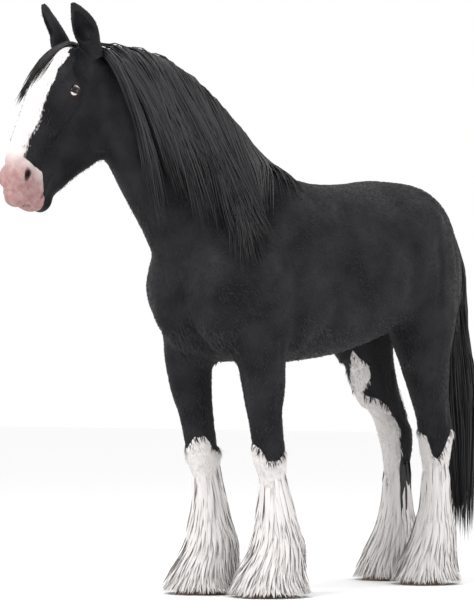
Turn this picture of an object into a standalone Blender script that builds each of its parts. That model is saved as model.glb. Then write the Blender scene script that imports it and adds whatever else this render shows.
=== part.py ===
# A shire horse standing square with its head turned a little to its right, at life size.
# Metres. X runs forward, Y to the horse's left and Z up from the floor.
# One smooth body is made whole from muscles and sections, then parted by thin flat cuts.

from math import cos, pi, radians, sin

import bmesh
import bpy
import numpy as np

for old in list(bpy.data.objects):
    bpy.data.objects.remove(old, do_unlink=True)

# Driving sizes

GAP = 0.0003
CENTRE_SHIFT = np.array([-0.373, 0.021, 0.0])
HOOF_TOP = 0.088
FOOT_X_FORE = 0.625
FOOT_X_HIND = -0.505
FOOT_Y_FORE = 0.18
FOOT_Y_HIND = 0.165
STEP_BACK = -0.155
EYE = np.array([0.220, 0.094, 0.010])
EYE_RADIUS = 0.029
EYE_FACING = np.array([0.10, 0.90, 0.42])
HEAD_AT = np.array([1.351, -0.230, 2.262])
HEAD_YAW = -3.0
HEAD_PITCH = 32.5
HEAD_SCALE = 1.05
NECK_BASE = np.array([0.50, 0.0, 1.39])
NECK_POLL = np.array([1.26, -0.197, 2.17])
EAR_LENGTH = 0.170
EAR_CUT = 0.030
EAR_SCALE = 1.26
TAIL_TURN = np.array([-0.935, 0.0, 1.40])
TAIL_CORE_END = np.array([-0.945, 0.0, 0.98])
FLOOR_CLEARANCE = 0.008
FORM_MARGIN = 0.08
SHORT_EDGE = 0.0008
BODY_TRIANGLES = 4450
HEAD_TRIANGLES = 1700
EAR_TRIANGLES = 280

# Sections of the trunk: place along X, lowest, highest, half width, height of the widest point

TRUNK = [
    (-0.860, 1.36, 1.44, 0.030, 0.55),
    (-0.830, 1.26, 1.51, 0.085, 0.55),
    (-0.760, 1.17, 1.572, 0.145, 0.55),
    (-0.680, 1.14, 1.645, 0.200, 0.55),
    (-0.580, 1.13, 1.702, 0.255, 0.55),
    (-0.450, 1.14, 1.762, 0.308, 0.55),
    (-0.330, 1.115, 1.780, 0.326, 0.52),
    (-0.150, 1.06, 1.762, 0.338, 0.50),
    (0.020, 1.02, 1.750, 0.345, 0.49),
    (0.200, 0.995, 1.750, 0.335, 0.48),
    (0.360, 0.985, 1.765, 0.312, 0.47),
    (0.500, 0.995, 1.745, 0.298, 0.46),
    (0.640, 1.02, 1.69, 0.288, 0.46),
    (0.785, 1.06, 1.60, 0.266, 0.45),
    (0.885, 1.12, 1.52, 0.215, 0.45),
    (0.945, 1.19, 1.44, 0.132, 0.45),
    (0.965, 1.27, 1.37, 0.050, 0.45),
]

# Sections of the neck: place along it, underside, crest, sideways centre, half width, widest

NECK = [
    (-0.10, -0.325, 0.265, -0.015, 0.198, 0.45),
    (0.08, -0.385, 0.300, 0.000, 0.212, 0.44),
    (0.28, -0.365, 0.302, 0.022, 0.188, 0.42),
    (0.48, -0.318, 0.297, 0.036, 0.158, 0.40),
    (0.70, -0.275, 0.292, 0.036, 0.132, 0.40),
    (0.88, -0.225, 0.268, 0.022, 0.113, 0.42),
    (1.03, -0.170, 0.210, 0.000, 0.100, 0.45),
    (1.13, -0.120, 0.120, -0.010, 0.085, 0.50),
]

# Sections of the head: place down the face, jaw side, face side, half width, widest

HEAD = [
    (-0.03, -0.150, -0.010, 0.055, 0.60),
    (0.03, -0.220, 0.050, 0.085, 0.62),
    (0.11, -0.290, 0.090, 0.102, 0.66),
    (0.20, -0.322, 0.106, 0.107, 0.72),
    (0.28, -0.326, 0.108, 0.096, 0.74),
    (0.35, -0.296, 0.103, 0.078, 0.72),
    (0.43, -0.250, 0.096, 0.068, 0.66),
    (0.51, -0.212, 0.086, 0.063, 0.60),
    (0.58, -0.184, 0.072, 0.063, 0.54),
    (0.64, -0.172, 0.054, 0.062, 0.50),
    (0.685, -0.130, 0.024, 0.050, 0.50),
]

# Sections of the legs: height, back, front, inner side, outer side, both from the leg's line

FORE_LEG = [
    (0.040, 0.552, 0.712, -0.076, 0.079),
    (0.088, 0.545, 0.700, -0.074, 0.077),
    (0.130, 0.530, 0.678, -0.066, 0.068),
    (0.180, 0.512, 0.652, -0.062, 0.063),
    (0.235, 0.502, 0.645, -0.064, 0.065),
    (0.300, 0.522, 0.640, -0.052, 0.053),
    (0.400, 0.534, 0.644, -0.049, 0.050),
    (0.500, 0.544, 0.662, -0.054, 0.056),
    (0.565, 0.546, 0.690, -0.064, 0.068),
    (0.640, 0.566, 0.702, -0.062, 0.070),
    (0.720, 0.580, 0.722, -0.062, 0.074),
    (0.820, 0.600, 0.748, -0.070, 0.086),
    (0.920, 0.605, 0.775, -0.076, 0.098),
    (1.020, 0.585, 0.805, -0.082, 0.110),
    (1.140, 0.540, 0.815, -0.070, 0.108),
    (1.260, 0.560, 0.760, -0.020, 0.070),
]
HIND_LEG = [
    (0.040, -0.570, -0.412, -0.074, 0.074),
    (0.088, -0.575, -0.425, -0.072, 0.072),
    (0.130, -0.590, -0.448, -0.064, 0.066),
    (0.180, -0.608, -0.472, -0.060, 0.062),
    (0.235, -0.624, -0.488, -0.062, 0.064),
    (0.300, -0.620, -0.505, -0.050, 0.052),
    (0.420, -0.626, -0.510, -0.048, 0.050),
    (0.520, -0.636, -0.502, -0.052, 0.054),
    (0.600, -0.654, -0.484, -0.060, 0.062),
    (0.660, -0.664, -0.468, -0.058, 0.062),
    (0.720, -0.642, -0.454, -0.052, 0.060),
    (0.800, -0.618, -0.424, -0.060, 0.074),
    (0.900, -0.602, -0.384, -0.078, 0.098),
    (1.000, -0.600, -0.340, -0.092, 0.114),
    (1.100, -0.625, -0.290, -0.098, 0.122),
    (1.220, -0.640, -0.275, -0.080, 0.112),
    (1.340, -0.580, -0.330, -0.020, 0.060),
]


def unit(vector):
    vector = np.asarray(vector, float)
    return vector / np.linalg.norm(vector)


def smooth_through(places, values, at):
    """Read a smooth curve that passes through the given values."""
    places = np.asarray(places, float)
    values = np.asarray(values, float)
    widths = np.diff(places)
    rises = np.diff(values) / widths
    slopes = np.empty_like(values)
    slopes[0] = rises[0]
    slopes[-1] = rises[-1]
    slopes[1:-1] = (rises[:-1] * widths[1:] + rises[1:] * widths[:-1]) / (widths[1:] + widths[:-1])
    at = np.clip(at, places[0], places[-1])
    low = np.clip(np.searchsorted(places, at) - 1, 0, len(places) - 2)
    width = places[low + 1] - places[low]
    x = (at - places[low]) / width
    start = values[low] * (1 + 2 * x) * (1 - x) ** 2 + width * slopes[low] * x * (1 - x) ** 2
    end = values[low + 1] * x * x * (3 - 2 * x) + width * slopes[low + 1] * x * x * (x - 1)
    return start + end


def blended(first, second, reach):
    """The nearer of two distances, rounded where they are alike."""
    share = np.clip(0.5 + 0.5 * (second - first) / reach, 0, 1)
    return second * (1 - share) + first * share - reach * share * (1 - share)


class Group:
    """Forms that share one set of axes. Each joins, cuts or moves the surface in turn."""

    def __init__(self, origin, axes, scale=1.0):
        self.origin = np.asarray(origin, float)
        self.axes = np.asarray(axes, float)
        self.scale = scale
        self.forms = []

    def local(self, points):
        return (points - self.origin) @ self.axes.T / self.scale

    def world(self, points):
        return np.asarray(points, float) @ self.axes * self.scale + self.origin

    def put(self, kind, low, high, blend, distance):
        self.forms.append((kind, np.asarray(low), np.asarray(high), blend, distance))

    def apply(self, points, depth):
        places = self.local(points)
        for kind, low, high, blend, distance in self.forms:
            margin = max(blend, 0.02) + FORM_MARGIN
            near = np.all((places > low - margin) & (places < high + margin), axis=1)
            if not near.any():
                continue
            form = distance(places[near]) * self.scale
            old = depth[near]
            if kind == "join":
                depth[near] = blended(old, form, blend)
            elif kind == "cut":
                depth[near] = -blended(-old, form, blend)
            else:
                depth[near] = old + form
        return depth


def sections(group, rows, axis, up, side, power, blend, kind="join"):
    """A form through oval sections: place, low, high, inner, outer, share of the widest point."""
    rows = np.asarray(rows, float)
    first = rows[0, 0]
    last = rows[-1, 0]

    def distance(places):
        along = places[:, axis]
        at = np.clip(along, first, last)
        low, high, inner, outer, share = (smooth_through(rows[:, 0], rows[:, k], at) for k in range(1, 6))
        rise = places[:, up] - (low + (high - low) * share)
        across = places[:, side] - (inner + outer) / 2
        height = np.where(rise > 0, (high - low) * (1 - share), (high - low) * share)
        width = (outer - inner) / 2
        oval = ((np.abs(rise) / height) ** power + (np.abs(across) / width) ** power) ** (1 / power)
        out = np.hypot(rise, across)
        depth = np.where(oval < 0.001, -np.minimum(height, width), out - out / np.maximum(oval, 1e-6))
        within = np.minimum(along - first, last - along)
        return np.where(within < 0, np.hypot(np.maximum(depth, 0), within), np.maximum(depth, -within))

    low = np.zeros(3)
    high = np.zeros(3)
    low[axis] = first
    high[axis] = last
    low[up] = rows[:, 1].min()
    high[up] = rows[:, 2].max()
    low[side] = rows[:, 3].min()
    high[side] = rows[:, 4].max()
    group.put(kind, low, high, blend, distance)


def turned(turns):
    """A rotation from a list of axis letters and degrees."""
    matrix = np.eye(3)
    for letter, degrees in turns:
        c = cos(radians(degrees))
        s = sin(radians(degrees))
        step = {
            "x": [[1, 0, 0], [0, c, -s], [0, s, c]],
            "y": [[c, 0, s], [0, 1, 0], [-s, 0, c]],
            "z": [[c, -s, 0], [s, c, 0], [0, 0, 1]],
        }[letter]
        matrix = np.array(step) @ matrix
    return matrix


def muscle(group, centre, radii, blend, turns=(), kind="join"):
    """An ellipsoid, turned about its own centre."""
    centre = np.asarray(centre, float)
    radii = np.asarray(radii, float)
    matrix = turned(turns)

    def distance(places):
        inside = (places - centre) @ matrix
        reach = np.linalg.norm(inside / radii, axis=1)
        slope = np.linalg.norm(inside / radii ** 2, axis=1)
        return reach * (reach - 1) / np.maximum(slope, 1e-9)

    extent = np.abs(matrix) @ radii
    group.put(kind, centre - extent, centre + extent, blend, distance)


def rod(group, start, end, start_radius, end_radius, blend, kind="join"):
    """A straight tapered form with round ends."""
    start = np.asarray(start, float)
    end = np.asarray(end, float)
    run = end - start

    def distance(places):
        share = np.clip((places - start) @ run / (run @ run), 0, 1)
        out = np.linalg.norm(places - start - share[:, None] * run, axis=1)
        return out - (start_radius + (end_radius - start_radius) * share)

    radius = max(start_radius, end_radius)
    group.put(kind, np.minimum(start, end) - radius, np.maximum(start, end) + radius, blend, distance)


def furrow(group, line, depth, width):
    """A soft groove along a bent line, or a ridge where the depth is below nothing."""
    line = np.asarray(line, float)

    def distance(places):
        nearest = np.full(len(places), 1e9)
        for start, end in zip(line[:-1], line[1:]):
            run = end - start
            share = np.clip((places - start) @ run / (run @ run), 0, 1)
            out = np.linalg.norm(places - start - share[:, None] * run, axis=1)
            nearest = np.minimum(nearest, out)
        return depth * np.exp(-(nearest / width) ** 2)

    reach = 2.5 * width
    group.put("move", line.min(0) - reach, line.max(0) + reach, 0.0, distance)


# The trunk with the muscles of shoulder, breast and quarters


def trunk_group():
    group = Group((0, 0, 0), np.eye(3))
    rows = [(x, low, high, -half, half, share) for x, low, high, half, share in TRUNK]
    sections(group, rows, axis=0, up=2, side=1, power=2.2, blend=0.02)
    for s in (1, -1):
        # Croup, thigh, buttock, front of the thigh and point of the hip
        muscle(group, (-0.45, s * 0.120, 1.565), (0.21, 0.130, 0.170), 0.08)
        muscle(group, (-0.50, s * 0.155, 1.350), (0.19, 0.120, 0.290), 0.07, [("y", 14)])
        muscle(group, (-0.70, s * 0.085, 1.335), (0.105, 0.080, 0.23), 0.09, [("y", -6)])
        muscle(group, (-0.385, s * 0.200, 1.270), (0.13, 0.090, 0.270), 0.08, [("y", 20)])
        muscle(group, (-0.33, s * 0.262, 1.580), (0.085, 0.045, 0.060), 0.09)
        # Shoulder blade, upper arm, point of the shoulder
        muscle(group, (0.50, s * 0.180, 1.500), (0.13, 0.085, 0.300), 0.10, [("y", 27)])
        muscle(group, (0.47, s * 0.230, 1.250), (0.155, 0.080, 0.150), 0.07, [("y", 20)])
        muscle(group, (0.750, s * 0.230, 1.300), (0.132, 0.100, 0.165), 0.10)
        # Breast
        muscle(group, (0.835, s * 0.110, 1.240), (0.138, 0.120, 0.180), 0.06, [("y", -10)])
        muscle(group, (0.65, s * 0.100, 1.070), (0.20, 0.100, 0.080), 0.08)
        # Lines behind the shoulder, over the upper arm, in the flank and down the thigh
        furrow(group, [(0.22, s * 0.26, 1.62), (0.26, s * 0.32, 1.45), (0.27, s * 0.33, 1.28),
                       (0.31, s * 0.31, 1.18)], 0.006, 0.050)
        furrow(group, [(0.62, s * 0.31, 1.42), (0.60, s * 0.315, 1.30), (0.56, s * 0.30, 1.18)], 0.009, 0.028)
        furrow(group, [(0.88, s * 0.21, 1.42), (0.82, s * 0.27, 1.36), (0.70, s * 0.32, 1.38)], 0.007, 0.030)
        furrow(group, [(-0.20, s * 0.33, 1.58), (-0.22, s * 0.33, 1.44), (-0.20, s * 0.32, 1.30)],
               0.014, 0.060)
        furrow(group, [(-0.58, s * 0.27, 1.50), (-0.62, s * 0.25, 1.34), (-0.62, s * 0.22, 1.18)],
               0.008, 0.032)
        furrow(group, [(-0.38, s * 0.31, 1.50), (-0.42, s * 0.30, 1.34), (-0.42, s * 0.29, 1.20)],
               0.006, 0.035)
    furrow(group, [(0.95, 0, 1.42), (0.945, 0, 1.20), (0.88, 0, 1.08), (0.78, 0, 1.01)], 0.020, 0.022)
    # Root of the tail and the start of the dock, hanging close behind the buttocks
    rod(group, (-0.962, 0, 1.42), (-0.965, 0, 1.02), 0.092, 0.098, 0.02, kind="cut")
    rod(group, (-0.76, 0, 1.575), (-0.880, 0, 1.535), 0.050, 0.040, 0.04)
    rod(group, (-0.880, 0, 1.535), TAIL_TURN, 0.040, 0.032, 0.015)
    rod(group, TAIL_TURN, TAIL_CORE_END, 0.032, 0.024, 0.01)
    return group


def neck_group():
    along = unit(NECK_POLL - NECK_BASE)
    side = unit(np.cross((0, 0, 1), along))
    group = Group(NECK_BASE, [along, side, np.cross(along, side)])
    rows = [(s, low, high, mid - half, mid + half, share) for s, low, high, mid, half, share in NECK]
    sections(group, rows, axis=0, up=2, side=1, power=2.1, blend=0.10)
    return group


def head_axes():
    """Down the face, to the head's left and out from the face."""
    forward = np.array([cos(radians(HEAD_YAW)), sin(radians(HEAD_YAW)), 0.0])
    lean = radians(HEAD_PITCH)
    up = np.array([0.0, 0.0, 1.0])
    down_face = sin(lean) * forward - cos(lean) * up
    out = cos(lean) * forward + sin(lean) * up
    return down_face, np.cross(up, forward), out


def head_group(detailed=True):
    group = Group(HEAD_AT, head_axes(), HEAD_SCALE)
    rows = [(s, low, high, -half, half, share) for s, low, high, half, share in HEAD]
    sections(group, rows, axis=0, up=2, side=1, power=2.4, blend=0.05)
    if not detailed:
        return group
    muscle(group, (0.115, 0, 0.058), (0.075, 0.062, 0.042), 0.03)
    muscle(group, (0.622, 0, -0.158), (0.042, 0.038, 0.030), 0.018)
    muscle(group, (0.690, 0, -0.030), (0.032, 0.046, 0.040), 0.02)
    for s in (1, -1):
        flip = np.array([1, s, 1])
        # Jaw plate, temple, brow, cheek ridge and edge of the nose bone
        muscle(group, (0.200, s * 0.066, -0.165), (0.150, 0.036, 0.140), 0.025)
        muscle(group, (0.140, s * 0.070, 0.052), (0.055, 0.030, 0.030), 0.03)
        muscle(group, EYE * flip + (-0.012, -s * 0.008, 0.008), (0.046, 0.030, 0.036), 0.020)
        rod(group, (0.250, s * 0.092, -0.026), (0.400, s * 0.066, -0.026), 0.015, 0.007, 0.018)
        rod(group, (0.25, s * 0.035, 0.078), (0.56, s * 0.028, 0.052), 0.022, 0.018, 0.02)
        # Hollows over the eye, before the cheek and along the nose
        muscle(group, (0.112, s * 0.096, 0.024), (0.036, 0.008, 0.024), 0.045, kind="cut")
        furrow(group, [(0.36, s * 0.072, -0.045), (0.46, s * 0.064, -0.030), (0.56, s * 0.06, -0.012)],
               0.006, 0.022)
        furrow(group, [(0.345, s * 0.075, -0.10), (0.335, s * 0.08, -0.16), (0.31, s * 0.07, -0.22)],
               0.006, 0.018)
        # Nostril with its rim
        muscle(group, (0.610, s * 0.049, 0.014), (0.050, 0.025, 0.036), 0.016)
        muscle(group, (0.614, s * 0.073, 0.016), (0.027, 0.022, 0.013), 0.005, [("y", 25)], kind="cut")
        # Line of the mouth
        furrow(group, [(0.540, s * 0.063, -0.100), (0.59, s * 0.061, -0.104), (0.635, s * 0.052, -0.102),
                       (0.670, s * 0.032, -0.092), (0.682, 0, -0.088)], 0.009, 0.0075)
        # Lids round the eye
        facing = unit(EYE_FACING) * flip
        muscle(group, EYE * flip, (0.0325, 0.0325, 0.0325), 0.010)
        muscle(group, EYE * flip + facing * 0.030, (0.0280, 0.018, 0.0175), 0.003, kind="cut")
    return group


def ear_group(s):
    """One ear, upright, with its cup turned forward and out. s is 1 on the left, -1 on the right."""
    down_face, left, out = head_axes()
    forward = unit(np.array([left[1], -left[0], 0.0]))
    lean, aside = (0.58, 0.10) if s > 0 else (0.42, 0.24)
    along = unit(np.array([0, 0, 1.0]) + lean * forward + s * aside * left)
    cup = 0.84 * forward + s * 0.54 * left
    cup = unit(cup - (cup @ along) * along)
    root = HEAD_AT + 0.012 * down_face + s * 0.080 * left + 0.002 * out
    group = Group(root, [along, np.cross(along, cup), cup], EAR_SCALE)
    inward = -1 if np.cross(along, cup) @ left * s > 0 else 1
    shape = [
        (-0.03, 0.030, 0.030, 0.000), (0.02, 0.036, 0.033, 0.000), (0.06, 0.042, 0.030, 0.000),
        (0.10, 0.038, 0.024, 0.001), (0.13, 0.028, 0.018, 0.004), (0.155, 0.016, 0.013, 0.009),
        (EAR_LENGTH, 0.007, 0.007, 0.013),
    ]
    rows = [(a, -d, d, inward * t - w, inward * t + w, 0.45) for a, w, d, t in shape]
    sections(group, rows, axis=0, up=2, side=1, power=2.0, blend=0.012)
    hollow = [
        (0.040, 0.014, 0.010, 0.000), (0.062, 0.030, 0.026, 0.000), (0.09, 0.029, 0.022, 0.001),
        (0.120, 0.018, 0.013, 0.004), (0.142, 0.006, 0.004, 0.008),
    ]
    rows = [(a, 0.010 - d, 0.030 + d, inward * t - w, inward * t + w, 0.5) for a, w, d, t in hollow]
    sections(group, rows, axis=0, up=2, side=1, power=2.0, blend=0.004, kind="cut")
    return group


def fore_leg_group(s):
    group = Group((0, 0, 0), np.diag([1.0, s, 1.0]))
    y = FOOT_Y_FORE
    rows = [(z, back, front, y + inner, y + outer, 0.5) for z, back, front, inner, outer in FORE_LEG]
    sections(group, rows, axis=2, up=0, side=1, power=2.15, blend=0.05)
    # Elbow, outer and rear muscles of the forearm, bone behind the knee
    muscle(group, (0.500, y + 0.045, 1.10), (0.055, 0.040, 0.075), 0.05)
    muscle(group, (0.705, y + 0.040, 0.955), (0.060, 0.050, 0.150), 0.05, [("y", 6)])
    muscle(group, (0.640, y + 0.025, 0.930), (0.050, 0.055, 0.150), 0.04, [("y", 8)])
    muscle(group, (0.555, y - 0.010, 0.590), (0.020, 0.030, 0.035), 0.03)
    furrow(group, [(0.675, y + 0.11, 1.05), (0.668, y + 0.10, 0.90), (0.650, y + 0.08, 0.75)], 0.006, 0.022)
    return group


def hind_shift(s, z):
    """How far a hind leg has stepped back at a height: the right one rests further back."""
    full = STEP_BACK if s < 0 else 0.0
    return full * min(1.0, max(0.0, (1.20 - z) / 0.58))


def hind_leg_group(s):
    group = Group((0, 0, 0), np.diag([1.0, s, 1.0]))
    y = FOOT_Y_HIND
    rows = []
    for z, back, front, inner, outer in HIND_LEG:
        shift = hind_shift(s, z)
        rows.append((z, back + shift, front + shift, y + inner, y + outer, 0.5))
    sections(group, rows, axis=2, up=0, side=1, power=2.15, blend=0.05)
    # Tendon to the point of the hock, muscle of the gaskin, stifle
    rod(group, (-0.645 + hind_shift(s, 0.68), y, 0.675), (-0.560 + hind_shift(s, 0.92), y + 0.01, 0.93),
        0.022, 0.040, 0.04)
    muscle(group, (-0.455 + hind_shift(s, 0.93), y + 0.040, 0.93), (0.065, 0.050, 0.150), 0.05, [("y", 8)])
    muscle(group, (-0.355 + hind_shift(s, 1.06), y + 0.030, 1.065), (0.050, 0.055, 0.080), 0.07)
    furrow(group, [(-0.585 + hind_shift(s, 0.90), y + 0.09, 0.90), (-0.590 + hind_shift(s, 0.80), y + 0.07, 0.80),
                   (-0.600 + hind_shift(s, 0.72), y + 0.06, 0.72)], 0.010, 0.018)
    return group


def feet():
    """Each foot: name, middle of the coronet, side of the body."""
    places = []
    for name, s in (("left", 1), ("right", -1)):
        places.append(("fore", name, np.array([FOOT_X_FORE, s * FOOT_Y_FORE]), s))
        shift = hind_shift(s, 0.0)
        places.append(("hind", name, np.array([FOOT_X_HIND + shift, s * FOOT_Y_HIND]), s))
    return places


HEAD_GROUPS = [neck_group(), head_group()]
BODY_GROUPS = [trunk_group(), neck_group(), head_group(detailed=False)]
for side_sign in (1, -1):
    BODY_GROUPS.append(fore_leg_group(side_sign))
    BODY_GROUPS.append(hind_leg_group(side_sign))


def depth_in(groups):
    def depth(points):
        result = np.full(len(points), 1.0)
        for group in groups:
            result = group.apply(points, result)
        return result
    return depth


body_depth = depth_in(BODY_GROUPS)
head_depth = depth_in(HEAD_GROUPS)
plain_depth = depth_in([neck_group(), head_group(detailed=False)])


def outward(depth, points, reach=0.002):
    """Directions straight out of the surface."""
    slopes = []
    for k in range(3):
        step = np.zeros(3)
        step[k] = reach
        slopes.append(depth(points + step) - depth(points - step))
    slope = np.stack(slopes, axis=1)
    return slope / np.maximum(np.linalg.norm(slope, axis=1, keepdims=True), 1e-9)


def surface(depth, low, high, step):
    """Corners and four-sided faces of the surface where the depth is nothing."""
    low = np.asarray(low, float)
    count = np.ceil((np.asarray(high) - low) / step).astype(int) + 1
    block = min(8, max(2, int(FORM_MARGIN / step)))
    blocks = np.ceil(count / block).astype(int)
    middles = [low[k] + (np.arange(blocks[k]) * block + block / 2) * step for k in range(3)]
    centres = np.stack(np.meshgrid(*middles, indexing="ij"), -1).reshape(-1, 3)
    coarse = depth(centres)
    grid = coarse.reshape(blocks).astype(np.float32)
    for k in range(3):
        grid = np.repeat(grid, block, k)
    near = np.argwhere((np.abs(coarse) < block * step + 0.02).reshape(blocks))
    inside = np.stack(np.meshgrid(*[np.arange(block)] * 3, indexing="ij"), -1).reshape(-1, 3)
    cells = (near[:, None, :] * block + inside[None]).reshape(-1, 3)
    for first in range(0, len(cells), 400000):
        part = cells[first:first + 400000]
        grid[part[:, 0], part[:, 1], part[:, 2]] = depth(low + part * step)
    filled = grid < 0
    offsets = [(i, j, k) for i in (0, 1) for j in (0, 1) for k in (0, 1)]
    total = np.zeros(np.array(filled.shape) - 1, np.int8)
    for i, j, k in offsets:
        total += filled[i:i + total.shape[0], j:j + total.shape[1], k:k + total.shape[2]]
    mixed = (total > 0) & (total < 8)
    active = np.argwhere(mixed)
    sums = np.zeros((len(active), 3))
    crossings = np.zeros(len(active))
    for start in offsets:
        for k in range(3):
            if start[k]:
                continue
            end = list(start)
            end[k] = 1
            a = active + np.array(start)
            b = active + np.array(end)
            depth_a = grid[a[:, 0], a[:, 1], a[:, 2]].astype(float)
            depth_b = grid[b[:, 0], b[:, 1], b[:, 2]].astype(float)
            crossed = (depth_a < 0) != (depth_b < 0)
            share = np.where(crossed, depth_a / np.where(crossed, depth_a - depth_b, 1), 0)
            place = np.array(start) + share[:, None] * (np.array(end) - np.array(start))
            sums[crossed] += place[crossed]
            crossings[crossed] += 1
    corners = low + (active + sums / crossings[:, None]) * step
    number = np.full(mixed.shape, -1, np.int32)
    number[active[:, 0], active[:, 1], active[:, 2]] = np.arange(len(active))
    faces = []
    for axis in range(3):
        here = [slice(1, -1)] * 3
        there = [slice(1, -1)] * 3
        here[axis] = slice(0, -1)
        there[axis] = slice(1, None)
        first = filled[tuple(here)]
        crossed = np.argwhere(first != filled[tuple(there)])
        next_one = (axis + 1) % 3
        next_two = (axis + 2) % 3
        base = crossed.copy()
        base[:, next_one] += 1
        base[:, next_two] += 1
        one = np.zeros(3, int)
        two = np.zeros(3, int)
        one[next_one] = 1
        two[next_two] = 1
        ring = [number[tuple((base - shift).T)] for shift in (one + two, two, 0 * one, one)]
        ring = np.stack(ring, axis=1)
        backward = ~first[tuple(crossed.T)]
        ring[backward] = ring[backward][:, ::-1]
        faces.append(ring)
    return corners, np.concatenate(faces)


def shared_edges(faces):
    """How many edges have more than two faces."""
    pairs = np.concatenate([faces[:, [k, (k + 1) % 4]] for k in range(4)])
    pairs.sort(axis=1)
    _, counts = np.unique(pairs, axis=0, return_counts=True)
    return int((counts > 2).sum())


def clean_surface(depth, low, high, step):
    """The same surface from a grid set so that no edge is pinched between four faces."""
    best = None
    for shift in (0.0, 0.27, 0.55, 0.81):
        start = np.asarray(low) - shift * step * np.array([1.0, 0.7, 0.4])
        corners, faces = surface(depth, start, high, step)
        pinched = shared_edges(faces)
        if best is None or pinched < best[0]:
            best = (pinched, corners, faces)
        if not pinched:
            break
    return best[1], best[2]


def settled(depth, corners, step, rounds=2):
    """Moves corners onto the surface."""
    for _ in range(rounds):
        away = outward(depth, corners, 0.001)
        corners = corners - away * np.clip(depth(corners), -step, step)[:, None]
    return corners


def mesh_object(name, corners, faces):
    mesh = bpy.data.meshes.new(name)
    mesh.from_pydata([tuple(corner) for corner in corners], [], [tuple(face) for face in faces])
    mesh.update()
    thing = bpy.data.objects.new(name, mesh)
    bpy.context.scene.collection.objects.link(thing)
    return thing


def applied(thing):
    """Puts the result of an object's modifiers into its mesh."""
    evaluated = thing.evaluated_get(bpy.context.evaluated_depsgraph_get())
    mesh = bpy.data.meshes.new_from_object(evaluated)
    thing.modifiers.clear()
    thing.data = mesh
    return thing


def reduced(thing, triangles):
    modifier = thing.modifiers.new("fewer", "DECIMATE")
    modifier.ratio = min(1.0, triangles / (2 * len(thing.data.polygons)))
    modifier.use_collapse_triangulate = True
    return applied(thing)


# Cuts: a point, the way to the first side, and the box that the cut may reach


FORWARD = np.array([cos(radians(HEAD_YAW)), sin(radians(HEAD_YAW)), 0.0])
HEAD_CUT = (np.array([1.140, -0.17, 2.00]), unit(FORWARD + np.array([0, 0, 0.05])))
NECK_CUT = (np.array([0.30, 0, 1.78]), unit((0.40, 0, 0.56)))
ELBOW_CUT = 0.945
KNEE_CUT = 0.620
STIFLE_CUT = 1.060
HOCK_CUT = 0.665
UP = np.array([0, 0, 1.0])
ALL = ((-9, -9, -9), (9, 9, 9))
CUTS = [
    (*HEAD_CUT, ((0.8, -0.6, 1.5), (1.35, 0.4, 2.5))),
    (*NECK_CUT, ((0.05, -0.5, 1.15), (1.1, 0.5, 2.0))),
    (np.array([-0.930, 0, 1.41]), unit((-0.1, 0, -1.0)), ((-1.0, -0.06, 1.36), (-0.882, 0.06, 1.47))),
    (UP * ELBOW_CUT, UP, ((0.3, -0.5, 0.8), (1.0, 0.5, 1.05))),
    (UP * KNEE_CUT, UP, ((0.3, -0.5, 0.5), (1.0, 0.5, 0.75))),
    (UP * STIFLE_CUT, UP, ((-0.87, -0.5, 0.95), (-0.25, 0.5, 1.15))),
    (UP * HOCK_CUT, UP, ((-0.87, -0.5, 0.5), (-0.2, 0.5, 0.8))),
    (UP * HOOF_TOP, UP, ((-1.0, -0.5, 0.0), (1.0, 0.5, 0.15))),
]


def within(point, box):
    return all(box[0][k] < point[k] < box[1][k] for k in range(3))


def slice_mesh(work, cuts, snap=0.0015):
    """Cuts a closed mesh along planes and opens it there. Corners on a cut lie exactly on it."""
    opened = set()
    for point, normal, box in cuts:
        faces = [face for face in work.faces if within(face.calc_center_median(), box)]
        edges = {edge for face in faces for edge in face.edges}
        verts = {vert for face in faces for vert in face.verts}
        result = bmesh.ops.bisect_plane(
            work, geom=list(verts) + list(edges) + faces, plane_co=tuple(point), plane_no=tuple(normal), dist=snap)
        for item in result["geom_cut"]:
            if isinstance(item, bmesh.types.BMVert):
                height = (np.array(item.co) - point) @ normal
                item.co = np.array(item.co) - normal * height
        opened.update(item for item in result["geom_cut"] if isinstance(item, bmesh.types.BMEdge))
    bmesh.ops.split_edges(work, edges=[edge for edge in opened if edge.is_valid])


def islands(work):
    """Connected groups of faces."""
    left = set(work.faces)
    while left:
        seed = left.pop()
        group = [seed]
        stack = [seed]
        while stack:
            face = stack.pop()
            for edge in face.edges:
                for other in edge.link_faces:
                    if other in left:
                        left.remove(other)
                        group.append(other)
                        stack.append(other)
        yield group


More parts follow.
